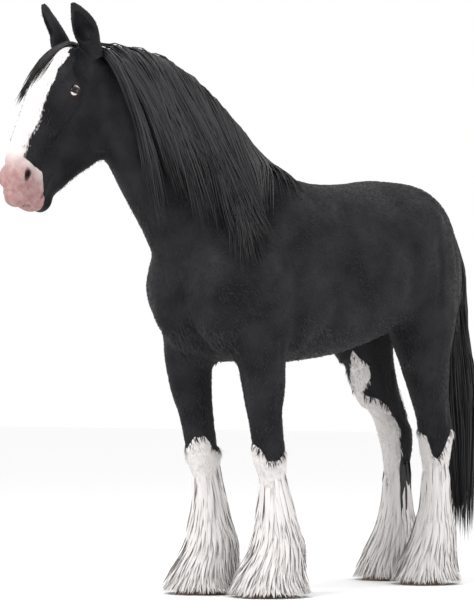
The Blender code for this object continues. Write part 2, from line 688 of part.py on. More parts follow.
def closed_piece(name, faces, cuts):
    """A new object from some faces. Its open ends are drawn in by half a gap and closed flat."""
    number = {}
    corners = []
    loops = []
    for face in faces:
        loop = []
        for vert in face.verts:
            if vert not in number:
                number[vert] = len(corners)
                corners.append(tuple(vert.co))
            loop.append(number[vert])
        loops.append(loop)
    work = bmesh.new()
    verts = [work.verts.new(corner) for corner in corners]
    for loop in loops:
        work.faces.new([verts[k] for k in loop])
    ends = {vert for edge in work.edges if len(edge.link_faces) == 1 for vert in edge.verts}
    bmesh.ops.remove_doubles(work, verts=list(ends), dist=SHORT_EDGE)
    rims = {edge for edge in work.edges if len(edge.link_faces) == 1}
    for point, normal, box in cuts:
        ring = set()
        for edge in rims:
            heights = [abs((np.array(vert.co) - point) @ normal) for vert in edge.verts]
            middle = (edge.verts[0].co + edge.verts[1].co) / 2
            if max(heights) < 1e-5 and within(middle, box):
                ring.add(edge)
        if not ring:
            continue
        rim_verts = {vert for edge in ring for vert in edge.verts}
        side = 0.0
        for vert in rim_verts:
            for edge in vert.link_edges:
                side += (np.array(edge.other_vert(vert).co) - point) @ normal
        for vert in rim_verts:
            vert.co = np.array(vert.co) + normal * np.sign(side) * GAP / 2
        bmesh.ops.triangle_fill(work, use_beauty=True, edges=list(ring), normal=tuple(normal))
        rims -= ring
    bmesh.ops.recalc_face_normals(work, faces=work.faces)
    mesh = bpy.data.meshes.new(name)
    work.to_mesh(mesh)
    work.free()
    thing = bpy.data.objects.new(name, mesh)
    bpy.context.scene.collection.objects.link(thing)
    return thing


def node_name(middle):
    """The node that a stretch of the body belongs to, from its middle."""
    x, y, z = middle
    side = "left" if y > 0 else "right"
    if (middle - HEAD_CUT[0]) @ HEAD_CUT[1] > 0 and z > 1.7:
        return "head"
    if (middle - NECK_CUT[0]) @ NECK_CUT[1] > 0 and z > 1.5:
        return "neck"
    if x < -0.87 and z > 0.9:
        return "tail"
    if z < HOOF_TOP:
        return "under_foot"
    if z > STIFLE_CUT and abs(y) < 0.1:
        return "torso"
    if x > 0:
        return ("fore_lower_" if z < KNEE_CUT else "fore_upper_") + side
    return ("hind_lower_" if z < HOCK_CUT else "hind_upper_") + side


def build_body():
    step = 0.018
    corners, faces = clean_surface(body_depth, (-1.02, -0.46, 0.02), (1.85, 0.46, 2.44), step)
    whole = mesh_object("whole", settled(body_depth, corners, step), faces)
    reduced(whole, BODY_TRIANGLES)
    work = bmesh.new()
    work.from_mesh(whole.data)
    healed(work)
    slice_mesh(work, CUTS)
    found = {}
    for group in islands(work):
        middle = np.mean([tuple(face.calc_center_median()) for face in group], axis=0)
        name = node_name(middle)
        if name in ("head", "under_foot") or len(group) < 20:
            continue
        found[name] = closed_piece(name, group, CUTS)
    work.free()
    bpy.data.objects.remove(whole, do_unlink=True)
    return found


def healed(work):
    """Opens the few spots where four faces share an edge and closes each side of them."""
    pinched = [edge for edge in work.edges if len(edge.link_faces) > 2]
    if pinched:
        faces = {face for edge in pinched for vert in edge.verts for face in vert.link_faces}
        bmesh.ops.delete(work, geom=list(faces), context="FACES")
        rims = [edge for edge in work.edges if len(edge.link_faces) == 1]
        bmesh.ops.holes_fill(work, edges=rims, sides=0)
        bmesh.ops.triangulate(work, faces=[face for face in work.faces if len(face.verts) > 3])
    return work


def build_head():
    """The head on a finer grid, cut off behind the jaw and the poll."""
    step = 0.0045
    corners, faces = clean_surface(head_depth, (1.08, -0.46, 1.52), (1.86, 0.10, 2.44), step)
    whole = mesh_object("whole_head", settled(head_depth, corners, step, 1), faces)
    reduced(whole, HEAD_TRIANGLES)
    work = bmesh.new()
    work.from_mesh(whole.data)
    healed(work)
    cuts = [(*HEAD_CUT, ALL)]
    slice_mesh(work, cuts)
    for group in islands(work):
        middle = np.mean([tuple(face.calc_center_median()) for face in group], axis=0)
        if (middle - HEAD_CUT[0]) @ HEAD_CUT[1] > 0 and len(group) > 1000:
            head = closed_piece("head", group, cuts)
    work.free()
    bpy.data.objects.remove(whole, do_unlink=True)
    return {"head": head}


def build_ears(head):
    """Ears with a deep cup. Each is parted by a flat cut above its root, which joins the head."""
    found = {}
    roots = []
    for name, s in (("ear_left", 1), ("ear_right", -1)):
        group = ear_group(s)
        depth = depth_in([group])
        middle = group.world((0.07, 0, 0))
        corners, faces = clean_surface(depth, middle - 0.13, middle + 0.13, 0.0035)
        whole = mesh_object("whole_ear", settled(depth, corners, 0.0035, 1), faces)
        reduced(whole, EAR_TRIANGLES)
        work = bmesh.new()
        work.from_mesh(whole.data)
        healed(work)
        cuts = [(group.world((EAR_CUT, 0, 0)), group.axes[0], ALL)]
        slice_mesh(work, cuts, snap=0.0003)
        for part in islands(work):
            middle = np.mean([tuple(face.calc_center_median()) for face in part], axis=0)
            if group.local(middle)[0] > EAR_CUT:
                found[name] = closed_piece(name, part, cuts)
            else:
                roots.append(closed_piece("root", part, cuts))
        work.free()
        bpy.data.objects.remove(whole, do_unlink=True)
    boolean(head, "UNION", roots)
    return found


def ball(name, centre, radius, around=12, rings=8):
    work = bmesh.new()
    bmesh.ops.create_uvsphere(work, u_segments=around, v_segments=rings, radius=radius)
    bmesh.ops.translate(work, verts=work.verts, vec=tuple(centre))
    bmesh.ops.triangulate(work, faces=work.faces)
    mesh = bpy.data.meshes.new(name)
    work.to_mesh(mesh)
    work.free()
    thing = bpy.data.objects.new(name, mesh)
    bpy.context.scene.collection.objects.link(thing)
    return thing


def boolean(thing, kind, others, solver="MANIFOLD"):
    """Joins or cuts an object with others, which are then removed."""
    group = bpy.data.collections.new("others")
    for other in others:
        group.objects.link(other)
    modifier = thing.modifiers.new("join", "BOOLEAN")
    modifier.operation = kind
    modifier.solver = solver
    modifier.operand_type = "COLLECTION"
    modifier.collection = group
    applied(thing)
    for other in others:
        bpy.data.objects.remove(other, do_unlink=True)
    bpy.data.collections.remove(group)
    return largest(thing)


def largest(thing):
    """Keeps only the largest closed surface of an object, in triangles."""
    work = bmesh.new()
    work.from_mesh(thing.data)
    groups = sorted(islands(work), key=len)
    extra = [face for group in groups[:-1] for face in group]
    bmesh.ops.delete(work, geom=extra, context="FACES")
    bmesh.ops.triangulate(work, faces=work.faces)
    work.to_mesh(thing.data)
    work.free()
    return thing


def build_eyes(head):
    frame = Group(HEAD_AT, head_axes(), HEAD_SCALE)
    sockets = []
    eyes = {}
    for name, s in (("left", 1), ("right", -1)):
        centre = frame.world(EYE * (1, s, 1))
        sockets.append(ball("socket", centre, EYE_RADIUS + GAP * 1.3))
        eyes["eye_" + name] = ball("eye_" + name, centre, EYE_RADIUS)
    boolean(head, "DIFFERENCE", sockets)
    return eyes


def build_hoof(name, middle, toe):
    """A hoof: oval at the coronet, wider at the ground and set a little forward, flat below."""
    rings = [(HOOF_TOP - GAP / 2, 0.000, 0.0745, 0.0725), (0.045, 0.022, 0.088, 0.084), (0.0, 0.042, 0.098, 0.093)]
    around = 16
    work = bmesh.new()
    loops = []
    for z, ahead, length, width in rings:
        loop = []
        for k in range(around):
            angle = 2 * pi * k / around
            x = middle[0] + toe * ahead + length * cos(angle)
            loop.append(work.verts.new((x, middle[1] + width * sin(angle), z)))
        loops.append(loop)
    for upper, lower in zip(loops[:-1], loops[1:]):
        for k in range(around):
            work.faces.new((upper[k], upper[k - 1], lower[k - 1], lower[k]))
    work.faces.new(loops[0])
    work.faces.new(loops[-1][::-1])
    bmesh.ops.recalc_face_normals(work, faces=work.faces)
    bmesh.ops.triangulate(work, faces=work.faces)
    mesh = bpy.data.meshes.new(name)
    work.to_mesh(mesh)
    work.free()
    thing = bpy.data.objects.new(name, mesh)
    bpy.context.scene.collection.objects.link(thing)
    return thing


def hoof_depth(points):
    """Distance from the nearest hoof, for hair that hangs over it."""
    result = np.full(len(points), 1.0)
    for _, _, middle, _ in feet():
        share = np.clip(1 - points[:, 2] / HOOF_TOP, 0, 1)
        radius = 0.0745 + 0.0235 * share
        out = np.hypot(points[:, 0] - middle[0] - 0.042 * share, points[:, 1] - middle[1]) - radius
        result = np.minimum(result, np.maximum(out, points[:, 2] - HOOF_TOP - 0.01))
    return result


def clear_depth(points):
    return np.minimum(body_depth(points), hoof_depth(points))


def combed(roots, heading, lengths, stations, lifts):
    """Paths of locks: each leaves its root, follows the heading and keeps its lift off the body."""
    count = len(roots)
    paths = np.zeros((count, stations, 3))
    places = roots.copy()
    paths[:, 0] = places
    for k in range(1, stations):
        share = k / (stations - 1)
        away = outward(clear_depth, places)
        way = heading(places, away, share)
        way = way / np.linalg.norm(way, axis=1, keepdims=True)
        places = places + way * (lengths / (stations - 1))[:, None]
        for _ in range(3):
            short = lifts[:, k] - clear_depth(places)
            push = np.where(short > 0, short, 0)
            places = places + outward(clear_depth, places) * push[:, None]
        places[:, 2] = np.maximum(places[:, 2], FLOOR_CLEARANCE + 0.006)
        paths[:, k] = places
    return paths


def lock(path, width, thickness, facing, name="lock"):
    """A flat tapered lock of four sides along a path, closed at the root and at its tip."""
    count = len(path)
    shape = np.interp(np.linspace(0, 1, count), [0, 0.25, 0.6, 1.0], [0.75, 1.0, 0.85, 0.0])
    corners = []
    for k in range(count - 1):
        ahead = path[k + 1] - path[max(k - 1, 0)]
        ahead = ahead / np.linalg.norm(ahead)
        out = facing[k] - (facing[k] @ ahead) * ahead
        out = out / np.linalg.norm(out)
        across = np.cross(ahead, out)
        half = width * shape[k] / 2
        thick = thickness * (0.5 + 0.5 * shape[k]) / 2
        corners += [path[k] + across * half, path[k] + out * thick, path[k] - across * half, path[k] - out * thick]
    corners.append(path[-1])
    faces = [(0, 1, 2), (0, 2, 3)]
    for k in range(count - 2):
        for side in range(4):
            a = 4 * k + side
            b = 4 * k + (side + 1) % 4
            faces += [(a, a + 4, b + 4), (a, b + 4, b)]
    last = 4 * (count - 2)
    for side in range(4):
        faces.append((last + side, len(corners) - 1, last + (side + 1) % 4))
    work = bmesh.new()
    verts = [work.verts.new(tuple(corner)) for corner in corners]
    for face in faces:
        work.faces.new([verts[k] for k in face])
    bmesh.ops.recalc_face_normals(work, faces=work.faces)
    mesh = bpy.data.meshes.new(name)
    work.to_mesh(mesh)
    work.free()
    thing = bpy.data.objects.new(name, mesh)
    bpy.context.scene.collection.objects.link(thing)
    return thing


def locks(paths, widths, thicknesses):
    made = []
    for path, width, thickness in zip(paths, widths, thicknesses):
        facing = outward(clear_depth, path)
        made.append(lock(path, width, thickness, facing))
    return made


def lift_table(count, stations, root, full, spread):
    """How far off the body each station lies: sunk at the root, then out to the full lift."""
    rise = np.interp(np.linspace(0, 1, stations), [0, 0.18, 1.0], [root, full, full])
    return rise[None, :] + np.asarray(spread)[:, None] * np.linspace(0, 1, stations)[None, :]


# The mane falls on the near side from the crest, the forelock between the ears to the far side

MANE_ROOT_SUNK = 0.018


def mane_paths(chance, count, first, last, lengths, lift):
    frame = neck_group()
    table = np.array(NECK)
    at = np.linspace(first, last, count) + chance.uniform(-0.008, 0.008, count)
    high = smooth_through(table[:, 0], table[:, 2], at)
    mid = smooth_through(table[:, 0], table[:, 3], at)
    roots = np.stack([at, mid + chance.uniform(0.0, 0.022, count), high - 0.004], axis=1)
    roots = frame.world(roots)
    away = outward(body_depth, roots)
    roots = roots - away * (body_depth(roots) + MANE_ROOT_SUNK)[:, None]
    reach = np.interp(at, [0.30, 0.42, 0.60, 0.80, 1.05], lengths) * chance.uniform(0.90, 1.06, count)
    stations = 13
    lifts = lift_table(count, stations, -MANE_ROOT_SUNK, lift, chance.uniform(0.0, 0.012, count))
    sway = chance.uniform(-0.08, 0.05, count)

    def heading(places, away, share):
        way = np.zeros_like(places)
        way[:, 2] = -1.0
        way[:, 0] = np.interp(at, [0.30, 0.60, 1.00], [0.12, 0.0, -0.16]) + sway
        way[:, 1] = 0.9 * max(0.0, 1 - 3.5 * share)
        way = way - 0.85 * np.minimum(0, (way * away).sum(1))[:, None] * away
        way[:, 2] += 0.35 * max(0.0, 1 - 5 * share)
        return way

    return combed(roots, heading, reach, stations, lifts)[:, [0, 2, 5, 8, 12]]


def build_mane(neck):
    chance = np.random.default_rng(12)
    under = mane_paths(chance, 9, 0.31, 1.03, (0.17, 0.32, 0.62, 0.80, 0.72), 0.026)
    over = mane_paths(chance, 7, 0.36, 1.01, (0.17, 0.26, 0.50, 0.68, 0.62), 0.046)
    paths = np.concatenate([under, over])
    widths = chance.uniform(0.110, 0.132, len(paths))
    boolean(neck, "UNION", locks(paths, widths, np.full(len(paths), 0.015)))


def build_forelock(head):
    """Locks from the poll between the ears, swept down the far side of the forehead."""
    chance = np.random.default_rng(5)
    count = 5
    frame = Group(HEAD_AT, head_axes(), HEAD_SCALE)
    w = np.linspace(0.030, -0.045, count)
    roots = frame.world(np.stack([np.full(count, -0.005), w, np.full(count, 0.03)], axis=1))
    away = outward(plain_depth, roots)
    roots = roots - away * (plain_depth(roots) + 0.014)[:, None]
    down_face, left, out = head_axes()
    stations = 5
    lengths = np.linspace(0.27, 0.34, count) * chance.uniform(0.92, 1.06, count)
    drift = np.linspace(-0.40, -0.75, count)
    paths = np.zeros((count, stations, 3))
    places = roots.copy()
    paths[:, 0] = places
    for k in range(1, stations):
        share = k / (stations - 1)
        way = down_face + drift[:, None] * (1 - 0.9 * share) * left + 0.5 * max(0.0, 1 - 3 * share) * out
        way = way / np.linalg.norm(way, axis=1, keepdims=True)
        places = places + way * (lengths / (stations - 1))[:, None]
        for _ in range(3):
            short = np.maximum(0.016 + 0.009 * (np.arange(count) % 2) - plain_depth(places), 0)
            places = places + outward(plain_depth, places) * short[:, None]
        paths[:, k] = places
    made = []
    for path, width in zip(paths, chance.uniform(0.048, 0.058, count)):
        made.append(lock(path, width, 0.011, outward(plain_depth, path)))
    boolean(head, "UNION", made)


def build_tail(tail):
    """Hair from all round the dock, hanging free behind the hocks."""
    chance = np.random.default_rng(23)
    made = []
    for row, (top, count, reach) in enumerate(((1.33, 5, 0.66), (1.12, 5, 0.84))):
        for k in range(count):
            angle = 2 * pi * (k + 0.5 * (row % 2)) / count
            radial = np.array([cos(angle), sin(angle), 0.0])
            share = (TAIL_TURN[2] - top) / (TAIL_TURN[2] - TAIL_CORE_END[2])
            core = TAIL_TURN + (TAIL_CORE_END - TAIL_TURN) * share
            length = reach * chance.uniform(0.86, 1.08)
            spread = 0.060 + 0.012 * row + chance.uniform(-0.008, 0.008)
            stations = 5
            path = []
            for step in range(stations):
                along = step / (stations - 1)
                radius = np.interp(along, [0, 0.15, 0.5, 1.0], [0.012, 0.045, spread, spread * 0.75])
                place = np.array([core[0] - 0.012 * along, 0.018 * along, top - length * along])
                path.append(place + radial * radius * np.array([0.72, 1.15, 0]))
            made.append(lock(np.array(path), chance.uniform(0.090, 0.106), 0.020, np.tile(radial, (stations, 1))))
    boolean(tail, "UNION", made)


# Tiers of feather: height of the roots, height of the tips, locks, arc in degrees, reach of the tips

FEATHER_TIERS = [(0.42, 0.10, 5, 270, 0.140), (0.22, 0.0, 7, 345, 0.182)]


def build_feather(leg, place, middle, s):
    """Long hair from below the knee or hock, in three tiers, spreading over the hoof to the floor."""
    chance = np.random.default_rng(31 + (7 if s > 0 else 0) + (3 if place == "fore" else 0))
    rows = FORE_LEG if place == "fore" else HIND_LEG
    table = np.array(rows)
    shift = hind_shift(s, 0.0) if place == "hind" else 0.0
    paths = []
    widths = []
    for top, foot, count, arc, reach in FEATHER_TIERS:
        for k in range(count):
            angle = pi + radians(arc) * ((k + 0.5) / count - 0.5) + chance.uniform(-0.06, 0.06)
            radial = np.array([cos(angle), sin(angle), 0.0])
            stations = 4
            start = top + chance.uniform(-0.02, 0.02)
            end = max(foot + chance.uniform(-0.02, 0.03), FLOOR_CLEARANCE + 0.006)
            path = []
            for step in range(stations):
                along = step / (stations - 1)
                z = start + (end - start) * along
                back = smooth_through(table[:, 0], table[:, 1], z) + shift
                front = smooth_through(table[:, 0], table[:, 2], z) + shift
                half = (front - back) / 2
                base = np.array([(front + back) / 2, middle[1]])
                tip = reach - (0.018 if place == "hind" else 0.0)
                inner = np.interp(along, [0, 0.3, 1.0], [half - 0.020, half + 0.012, tip])
                path.append(np.array([base[0] + radial[0] * inner, base[1] + radial[1] * inner, z]))
            path = np.array(path)
            for _ in range(3):
                short = np.maximum(0.012 - hoof_depth(path[1:]), 0)
                path[1:] += np.tile(radial, (stations - 1, 1)) * short[:, None]
            paths.append((path, np.tile(radial + np.array([0, 0, 0.15]), (stations, 1))))
            widths.append(2 * pi * 0.09 * arc / 360 / count * 1.35)
    made = [lock(path, width, 0.016, facing) for (path, facing), width in zip(paths, widths)]
    boolean(leg, "UNION", made)


def coloured(thing, colour, roughness):
    """Gives an object its own plain material and moves its mesh to the middle of the frame."""
    material = bpy.data.materials.new(thing.name + "_surface")
    material.use_nodes = True
    shader = material.node_tree.nodes["Principled BSDF"]
    shader.inputs["Base Color"].default_value = (*colour, 1.0)
    shader.inputs["Roughness"].default_value = roughness
    shader.inputs["Metallic"].default_value = 0.0
    thing.data.materials.clear()
    thing.data.materials.append(material)
    for vert in thing.data.vertices:
        vert.co = np.array(vert.co) + CENTRE_SHIFT


# Colours, and the roughness of each kind of surface

COLOURS = {
    "eye": ((0.012, 0.008, 0.006), 0.12),
    "hoof": ((0.16, 0.095, 0.055), 0.55),
    "lower": ((0.72, 0.68, 0.63), 0.85),
    "tail": ((0.010, 0.011, 0.013), 0.60),
    "coat": ((0.022, 0.021, 0.024), 0.50),
}

pieces = build_body()
pieces.update(build_head())
pieces.update(build_eyes(pieces["head"]))
pieces.update(build_ears(pieces["head"]))
for place, name, middle, s in feet():
    piece = place + "_hoof_" + name
    pieces[piece] = build_hoof(piece, middle, 1)
    build_feather(pieces[place + "_lower_" + name], place, middle, s)
build_mane(pieces["neck"])
build_forelock(pieces["head"])
build_tail(pieces["tail"])
for name, thing in pieces.items():
    kind = next((key for key in COLOURS if key in name), "coat")
    thing.name = name
    coloured(thing, *COLOURS[kind])
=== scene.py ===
# The looks of the shire horse: one skin, long hair in fine locks, eyes, hooves, floor, light and camera.
# Metres. X runs forward, Y to the horse's left and Z up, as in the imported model.
# The forms below have the same sizes as in the part's source, and the skin is one closed surface
# netted from them, a coat's depth inside the solids.

from math import atan2, cos, pi, radians, sin

import bpy
import numpy as np
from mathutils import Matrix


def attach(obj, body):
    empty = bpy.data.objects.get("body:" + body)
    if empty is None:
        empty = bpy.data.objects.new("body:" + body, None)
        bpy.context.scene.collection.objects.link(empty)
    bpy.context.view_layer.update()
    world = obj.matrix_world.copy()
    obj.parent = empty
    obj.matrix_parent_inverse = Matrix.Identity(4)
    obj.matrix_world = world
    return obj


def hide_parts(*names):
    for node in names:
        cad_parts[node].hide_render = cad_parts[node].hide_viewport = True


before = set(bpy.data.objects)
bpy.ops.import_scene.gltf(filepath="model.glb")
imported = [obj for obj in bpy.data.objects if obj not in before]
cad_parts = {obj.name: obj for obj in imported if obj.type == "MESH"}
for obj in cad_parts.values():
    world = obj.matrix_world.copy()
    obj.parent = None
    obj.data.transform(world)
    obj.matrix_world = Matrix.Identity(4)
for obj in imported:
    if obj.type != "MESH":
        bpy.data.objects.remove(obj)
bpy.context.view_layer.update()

# Driving sizes, shared with the part's source

CENTRE_SHIFT = np.array([-0.373, 0.021, 0.0])
HOOF_TOP = 0.088
FOOT_X_FORE = 0.625
FOOT_X_HIND = -0.505
FOOT_Y_FORE = 0.18
FOOT_Y_HIND = 0.165
STEP_BACK = -0.155
EYE = np.array([0.220, 0.094, 0.010])
EYE_RADIUS = 0.029
EYE_FACING = np.array([0.10, 0.90, 0.42])
HEAD_AT = np.array([1.351, -0.230, 2.262])
HEAD_YAW = -3.0
HEAD_PITCH = 32.5
HEAD_SCALE = 1.05
NECK_BASE = np.array([0.50, 0.0, 1.39])
NECK_POLL = np.array([1.26, -0.197, 2.17])
EAR_LENGTH = 0.170
EAR_SCALE = 1.26
TAIL_TURN = np.array([-0.935, 0.0, 1.40])
TAIL_CORE_END = np.array([-0.945, 0.0, 0.98])
FORM_MARGIN = 0.08

# Sizes of the looks

COAT = 0.0015
BODY_STEP = 0.010
HEAD_STEP = 0.0034
BODY_BOX = ((-1.02, -0.47, 0.02), (1.26, 0.47, 2.44))
HEAD_BOX = ((1.06, -0.47, 1.52), (1.86, 0.12, 2.50))
NET_PART = 400000
SEAM = 0.005
FULL_TURN = 4.0
USED_UP = 9.0
PIECE_LIMIT = 190000
TUFT_PATCH = 0.003
MASK_REACH = 0.05
EYE_RINGS = 32
EYE_AROUND = 48
HOOF_RINGS = 15
HOOF_AROUND = 64
LOCK_PLACES = (0, 0.25, 0.65, 1.0)
LOCK_WIDTHS = (0.6, 1.0, 0.75, 0.0)
MANE_SEED = 11
MANE_LOCKS = 2600
MANE_WIDTHS = (0.007, 0.015)
MANE_THICKNESS = 0.003
FORELOCK_SEED = 5
FORELOCK_LOCKS = 420
FORELOCK_WIDTHS = (0.005, 0.010)
FORELOCK_THICKNESS = 0.0025
TAIL_SEED = 23
TAIL_LOCKS = 1500
TAIL_WIDTHS = (0.006, 0.013)
TAIL_THICKNESS = 0.003
FEATHER_SEED = 40
FEATHER_LOCKS = 2300
FEATHER_WIDTHS = (0.013, 0.028)
FEATHER_THICKNESS = 0.0016
FUR_SEED = 77
FUR_TUFTS = 74000
FUR_THICKNESS = 0.0010
FLOOR_SIZE = 60.0
KEY_POWER = 290.0
TOP_POWER = 110.0
SIDE_POWER = 70.0
VIEW_TURN = radians(52.0)
VIEW_DISTANCE = 15.0
VIEW_HEIGHT = 0.95
VIEW_AIM = np.array([0.241, -0.308, 1.25])
VIEW_LENS = 207.0

# Colours of the coat, the horn and the eyes

BLACK = (0.0075, 0.0072, 0.0085)
BLACK_LIGHT = (0.020, 0.0195, 0.0215)
WHITE = (0.63, 0.605, 0.595)
WHITE_SHADE = (0.56, 0.535, 0.525)
PINK = (0.26, 0.140, 0.135)
PINK_LIGHT = (0.34, 0.220, 0.215)
# Painted shade for the nostrils and the mouth's line, also the dark skin of the eyes' rims
DARK_SKIN_AND_SHADE = (0.022, 0.014, 0.014)
MANE_DARK = (0.006, 0.006, 0.008)
MANE_LIGHT = (0.030, 0.028, 0.030)
FEATHER_DARK = (0.012, 0.011, 0.012)
FEATHER_LIGHT = (0.035, 0.032, 0.034)
FUR_DARK = (0.014, 0.0137, 0.0155)
FUR_LIGHT = (0.027, 0.0263, 0.029)
HORN_DARK = (0.085, 0.050, 0.030)
HORN_LIGHT = (0.26, 0.17, 0.105)
EYE_WHITE = (0.60, 0.57, 0.55)
IRIS = (0.012, 0.007, 0.005)
PUPIL = (0.003, 0.003, 0.004)

# Sections of the trunk: place along X, lowest, highest, half width, height of the widest point

TRUNK = [
    (-0.860, 1.36, 1.44, 0.030, 0.55),
    (-0.830, 1.26, 1.51, 0.085, 0.55),
    (-0.760, 1.17, 1.572, 0.145, 0.55),
    (-0.680, 1.14, 1.645, 0.200, 0.55),
    (-0.580, 1.13, 1.702, 0.255, 0.55),
    (-0.450, 1.14, 1.762, 0.308, 0.55),
    (-0.330, 1.115, 1.780, 0.326, 0.52),
    (-0.150, 1.06, 1.762, 0.338, 0.50),
    (0.020, 1.02, 1.750, 0.345, 0.49),
    (0.200, 0.995, 1.750, 0.335, 0.48),
    (0.360, 0.985, 1.765, 0.312, 0.47),
    (0.500, 0.995, 1.745, 0.298, 0.46),
    (0.640, 1.02, 1.69, 0.288, 0.46),
    (0.785, 1.06, 1.60, 0.266, 0.45),
    (0.885, 1.12, 1.52, 0.215, 0.45),
    (0.945, 1.19, 1.44, 0.132, 0.45),
    (0.965, 1.27, 1.37, 0.050, 0.45),
]

# Sections of the neck: place along it, underside, crest, sideways centre, half width, widest

NECK = [
    (-0.10, -0.325, 0.265, -0.015, 0.198, 0.45),
    (0.08, -0.385, 0.300, 0.000, 0.212, 0.44),
    (0.28, -0.365, 0.302, 0.022, 0.188, 0.42),
    (0.48, -0.318, 0.297, 0.036, 0.158, 0.40),
    (0.70, -0.275, 0.292, 0.036, 0.132, 0.40),
    (0.88, -0.225, 0.268, 0.022, 0.113, 0.42),
    (1.03, -0.170, 0.210, 0.000, 0.100, 0.45),
    (1.13, -0.120, 0.120, -0.010, 0.085, 0.50),
]

# Sections of the head: place down the face, jaw side, face side, half width, widest

HEAD = [
    (-0.03, -0.150, -0.010, 0.055, 0.60),
    (0.03, -0.220, 0.050, 0.085, 0.62),
    (0.11, -0.290, 0.090, 0.102, 0.66),
    (0.20, -0.322, 0.106, 0.107, 0.72),
    (0.28, -0.326, 0.108, 0.096, 0.74),
    (0.35, -0.296, 0.103, 0.078, 0.72),
    (0.43, -0.250, 0.096, 0.068, 0.66),
    (0.51, -0.212, 0.086, 0.063, 0.60),
    (0.58, -0.184, 0.072, 0.063, 0.54),
    (0.64, -0.172, 0.054, 0.062, 0.50),
    (0.685, -0.130, 0.024, 0.050, 0.50),
]

# The line of the mouth on the head's own axes, from its corner to the lips

MOUTH = np.array([(0.540, 0.063, -0.100), (0.59, 0.061, -0.104), (0.635, 0.052, -0.102),
                  (0.670, 0.032, -0.092), (0.682, 0.0, -0.088)])

# Sections of the legs: height, back, front, inner side, outer side, both from the leg's line

FORE_LEG = [
    (0.040, 0.552, 0.712, -0.076, 0.079),
    (0.088, 0.545, 0.700, -0.074, 0.077),
    (0.130, 0.530, 0.678, -0.066, 0.068),
    (0.180, 0.512, 0.652, -0.062, 0.063),
    (0.235, 0.502, 0.645, -0.064, 0.065),
    (0.300, 0.522, 0.640, -0.052, 0.053),
    (0.400, 0.534, 0.644, -0.049, 0.050),
    (0.500, 0.544, 0.662, -0.054, 0.056),
    (0.565, 0.546, 0.690, -0.064, 0.068),
    (0.640, 0.566, 0.702, -0.062, 0.070),
    (0.720, 0.580, 0.722, -0.062, 0.074),
    (0.820, 0.600, 0.748, -0.070, 0.086),
    (0.920, 0.605, 0.775, -0.076, 0.098),
    (1.020, 0.585, 0.805, -0.082, 0.110),
    (1.140, 0.540, 0.815, -0.070, 0.108),
    (1.260, 0.560, 0.760, -0.020, 0.070),
]
HIND_LEG = [
    (0.040, -0.570, -0.412, -0.074, 0.074),
    (0.088, -0.575, -0.425, -0.072, 0.072),
    (0.130, -0.590, -0.448, -0.064, 0.066),
    (0.180, -0.608, -0.472, -0.060, 0.062),
    (0.235, -0.624, -0.488, -0.062, 0.064),
    (0.300, -0.620, -0.505, -0.050, 0.052),
    (0.420, -0.626, -0.510, -0.048, 0.050),
    (0.520, -0.636, -0.502, -0.052, 0.054),
    (0.600, -0.654, -0.484, -0.060, 0.062),
    (0.660, -0.664, -0.468, -0.058, 0.062),
    (0.720, -0.642, -0.454, -0.052, 0.060),
    (0.800, -0.618, -0.424, -0.060, 0.074),
    (0.900, -0.602, -0.384, -0.078, 0.098),
    (1.000, -0.600, -0.340, -0.092, 0.114),
    (1.100, -0.625, -0.290, -0.098, 0.122),
    (1.220, -0.640, -0.275, -0.080, 0.112),
    (1.340, -0.580, -0.330, -0.020, 0.060),
]


def unit(vector):
    vector = np.asarray(vector, float)
    return vector / np.linalg.norm(vector)


def units(vectors):
    """Many directions, each made one long."""
    return vectors / np.maximum(np.linalg.norm(vectors, axis=-1, keepdims=True), 1e-9)


def smooth_through(places, values, at):
    """Read a smooth curve that passes through the given values."""
    places = np.asarray(places, float)
    values = np.asarray(values, float)
    widths = np.diff(places)
    rises = np.diff(values) / widths
    slopes = np.empty_like(values)
    slopes[0] = rises[0]
    slopes[-1] = rises[-1]
    slopes[1:-1] = (rises[:-1] * widths[1:] + rises[1:] * widths[:-1]) / (widths[1:] + widths[:-1])
    at = np.clip(at, places[0], places[-1])
    low = np.clip(np.searchsorted(places, at) - 1, 0, len(places) - 2)
    width = places[low + 1] - places[low]
    x = (at - places[low]) / width
    start = values[low] * (1 + 2 * x) * (1 - x) ** 2 + width * slopes[low] * x * (1 - x) ** 2
    end = values[low + 1] * x * x * (3 - 2 * x) + width * slopes[low + 1] * x * x * (x - 1)
    return start + end


def blended(first, second, reach):
    """The nearer of two distances, rounded where they are alike."""
    share = np.clip(0.5 + 0.5 * (second - first) / reach, 0, 1)
    return second * (1 - share) + first * share - reach * share * (1 - share)


class Group:
    """Forms that share one set of axes. Each joins, cuts or moves the surface in turn."""

    def __init__(self, origin, axes, scale=1.0):
        self.origin = np.asarray(origin, float)
        self.axes = np.asarray(axes, float)
        self.scale = scale
        self.forms = []

    def local(self, points):
        return (points - self.origin) @ self.axes.T / self.scale

    def world(self, points):
        return np.asarray(points, float) @ self.axes * self.scale + self.origin

    def put(self, kind, low, high, blend, distance):
        self.forms.append((kind, np.asarray(low), np.asarray(high), blend, distance))

    def apply(self, points, depth):
        places = self.local(points)
        for kind, low, high, blend, distance in self.forms:
            margin = max(blend, 0.02) + FORM_MARGIN
            near = np.all((places > low - margin) & (places < high + margin), axis=1)
            if not near.any():
                continue
            form = distance(places[near]) * self.scale
            old = depth[near]
            if kind == "join":
                depth[near] = blended(old, form, blend)
            elif kind == "cut":
                depth[near] = -blended(-old, form, blend)
            else:
                depth[near] = old + form
        return depth


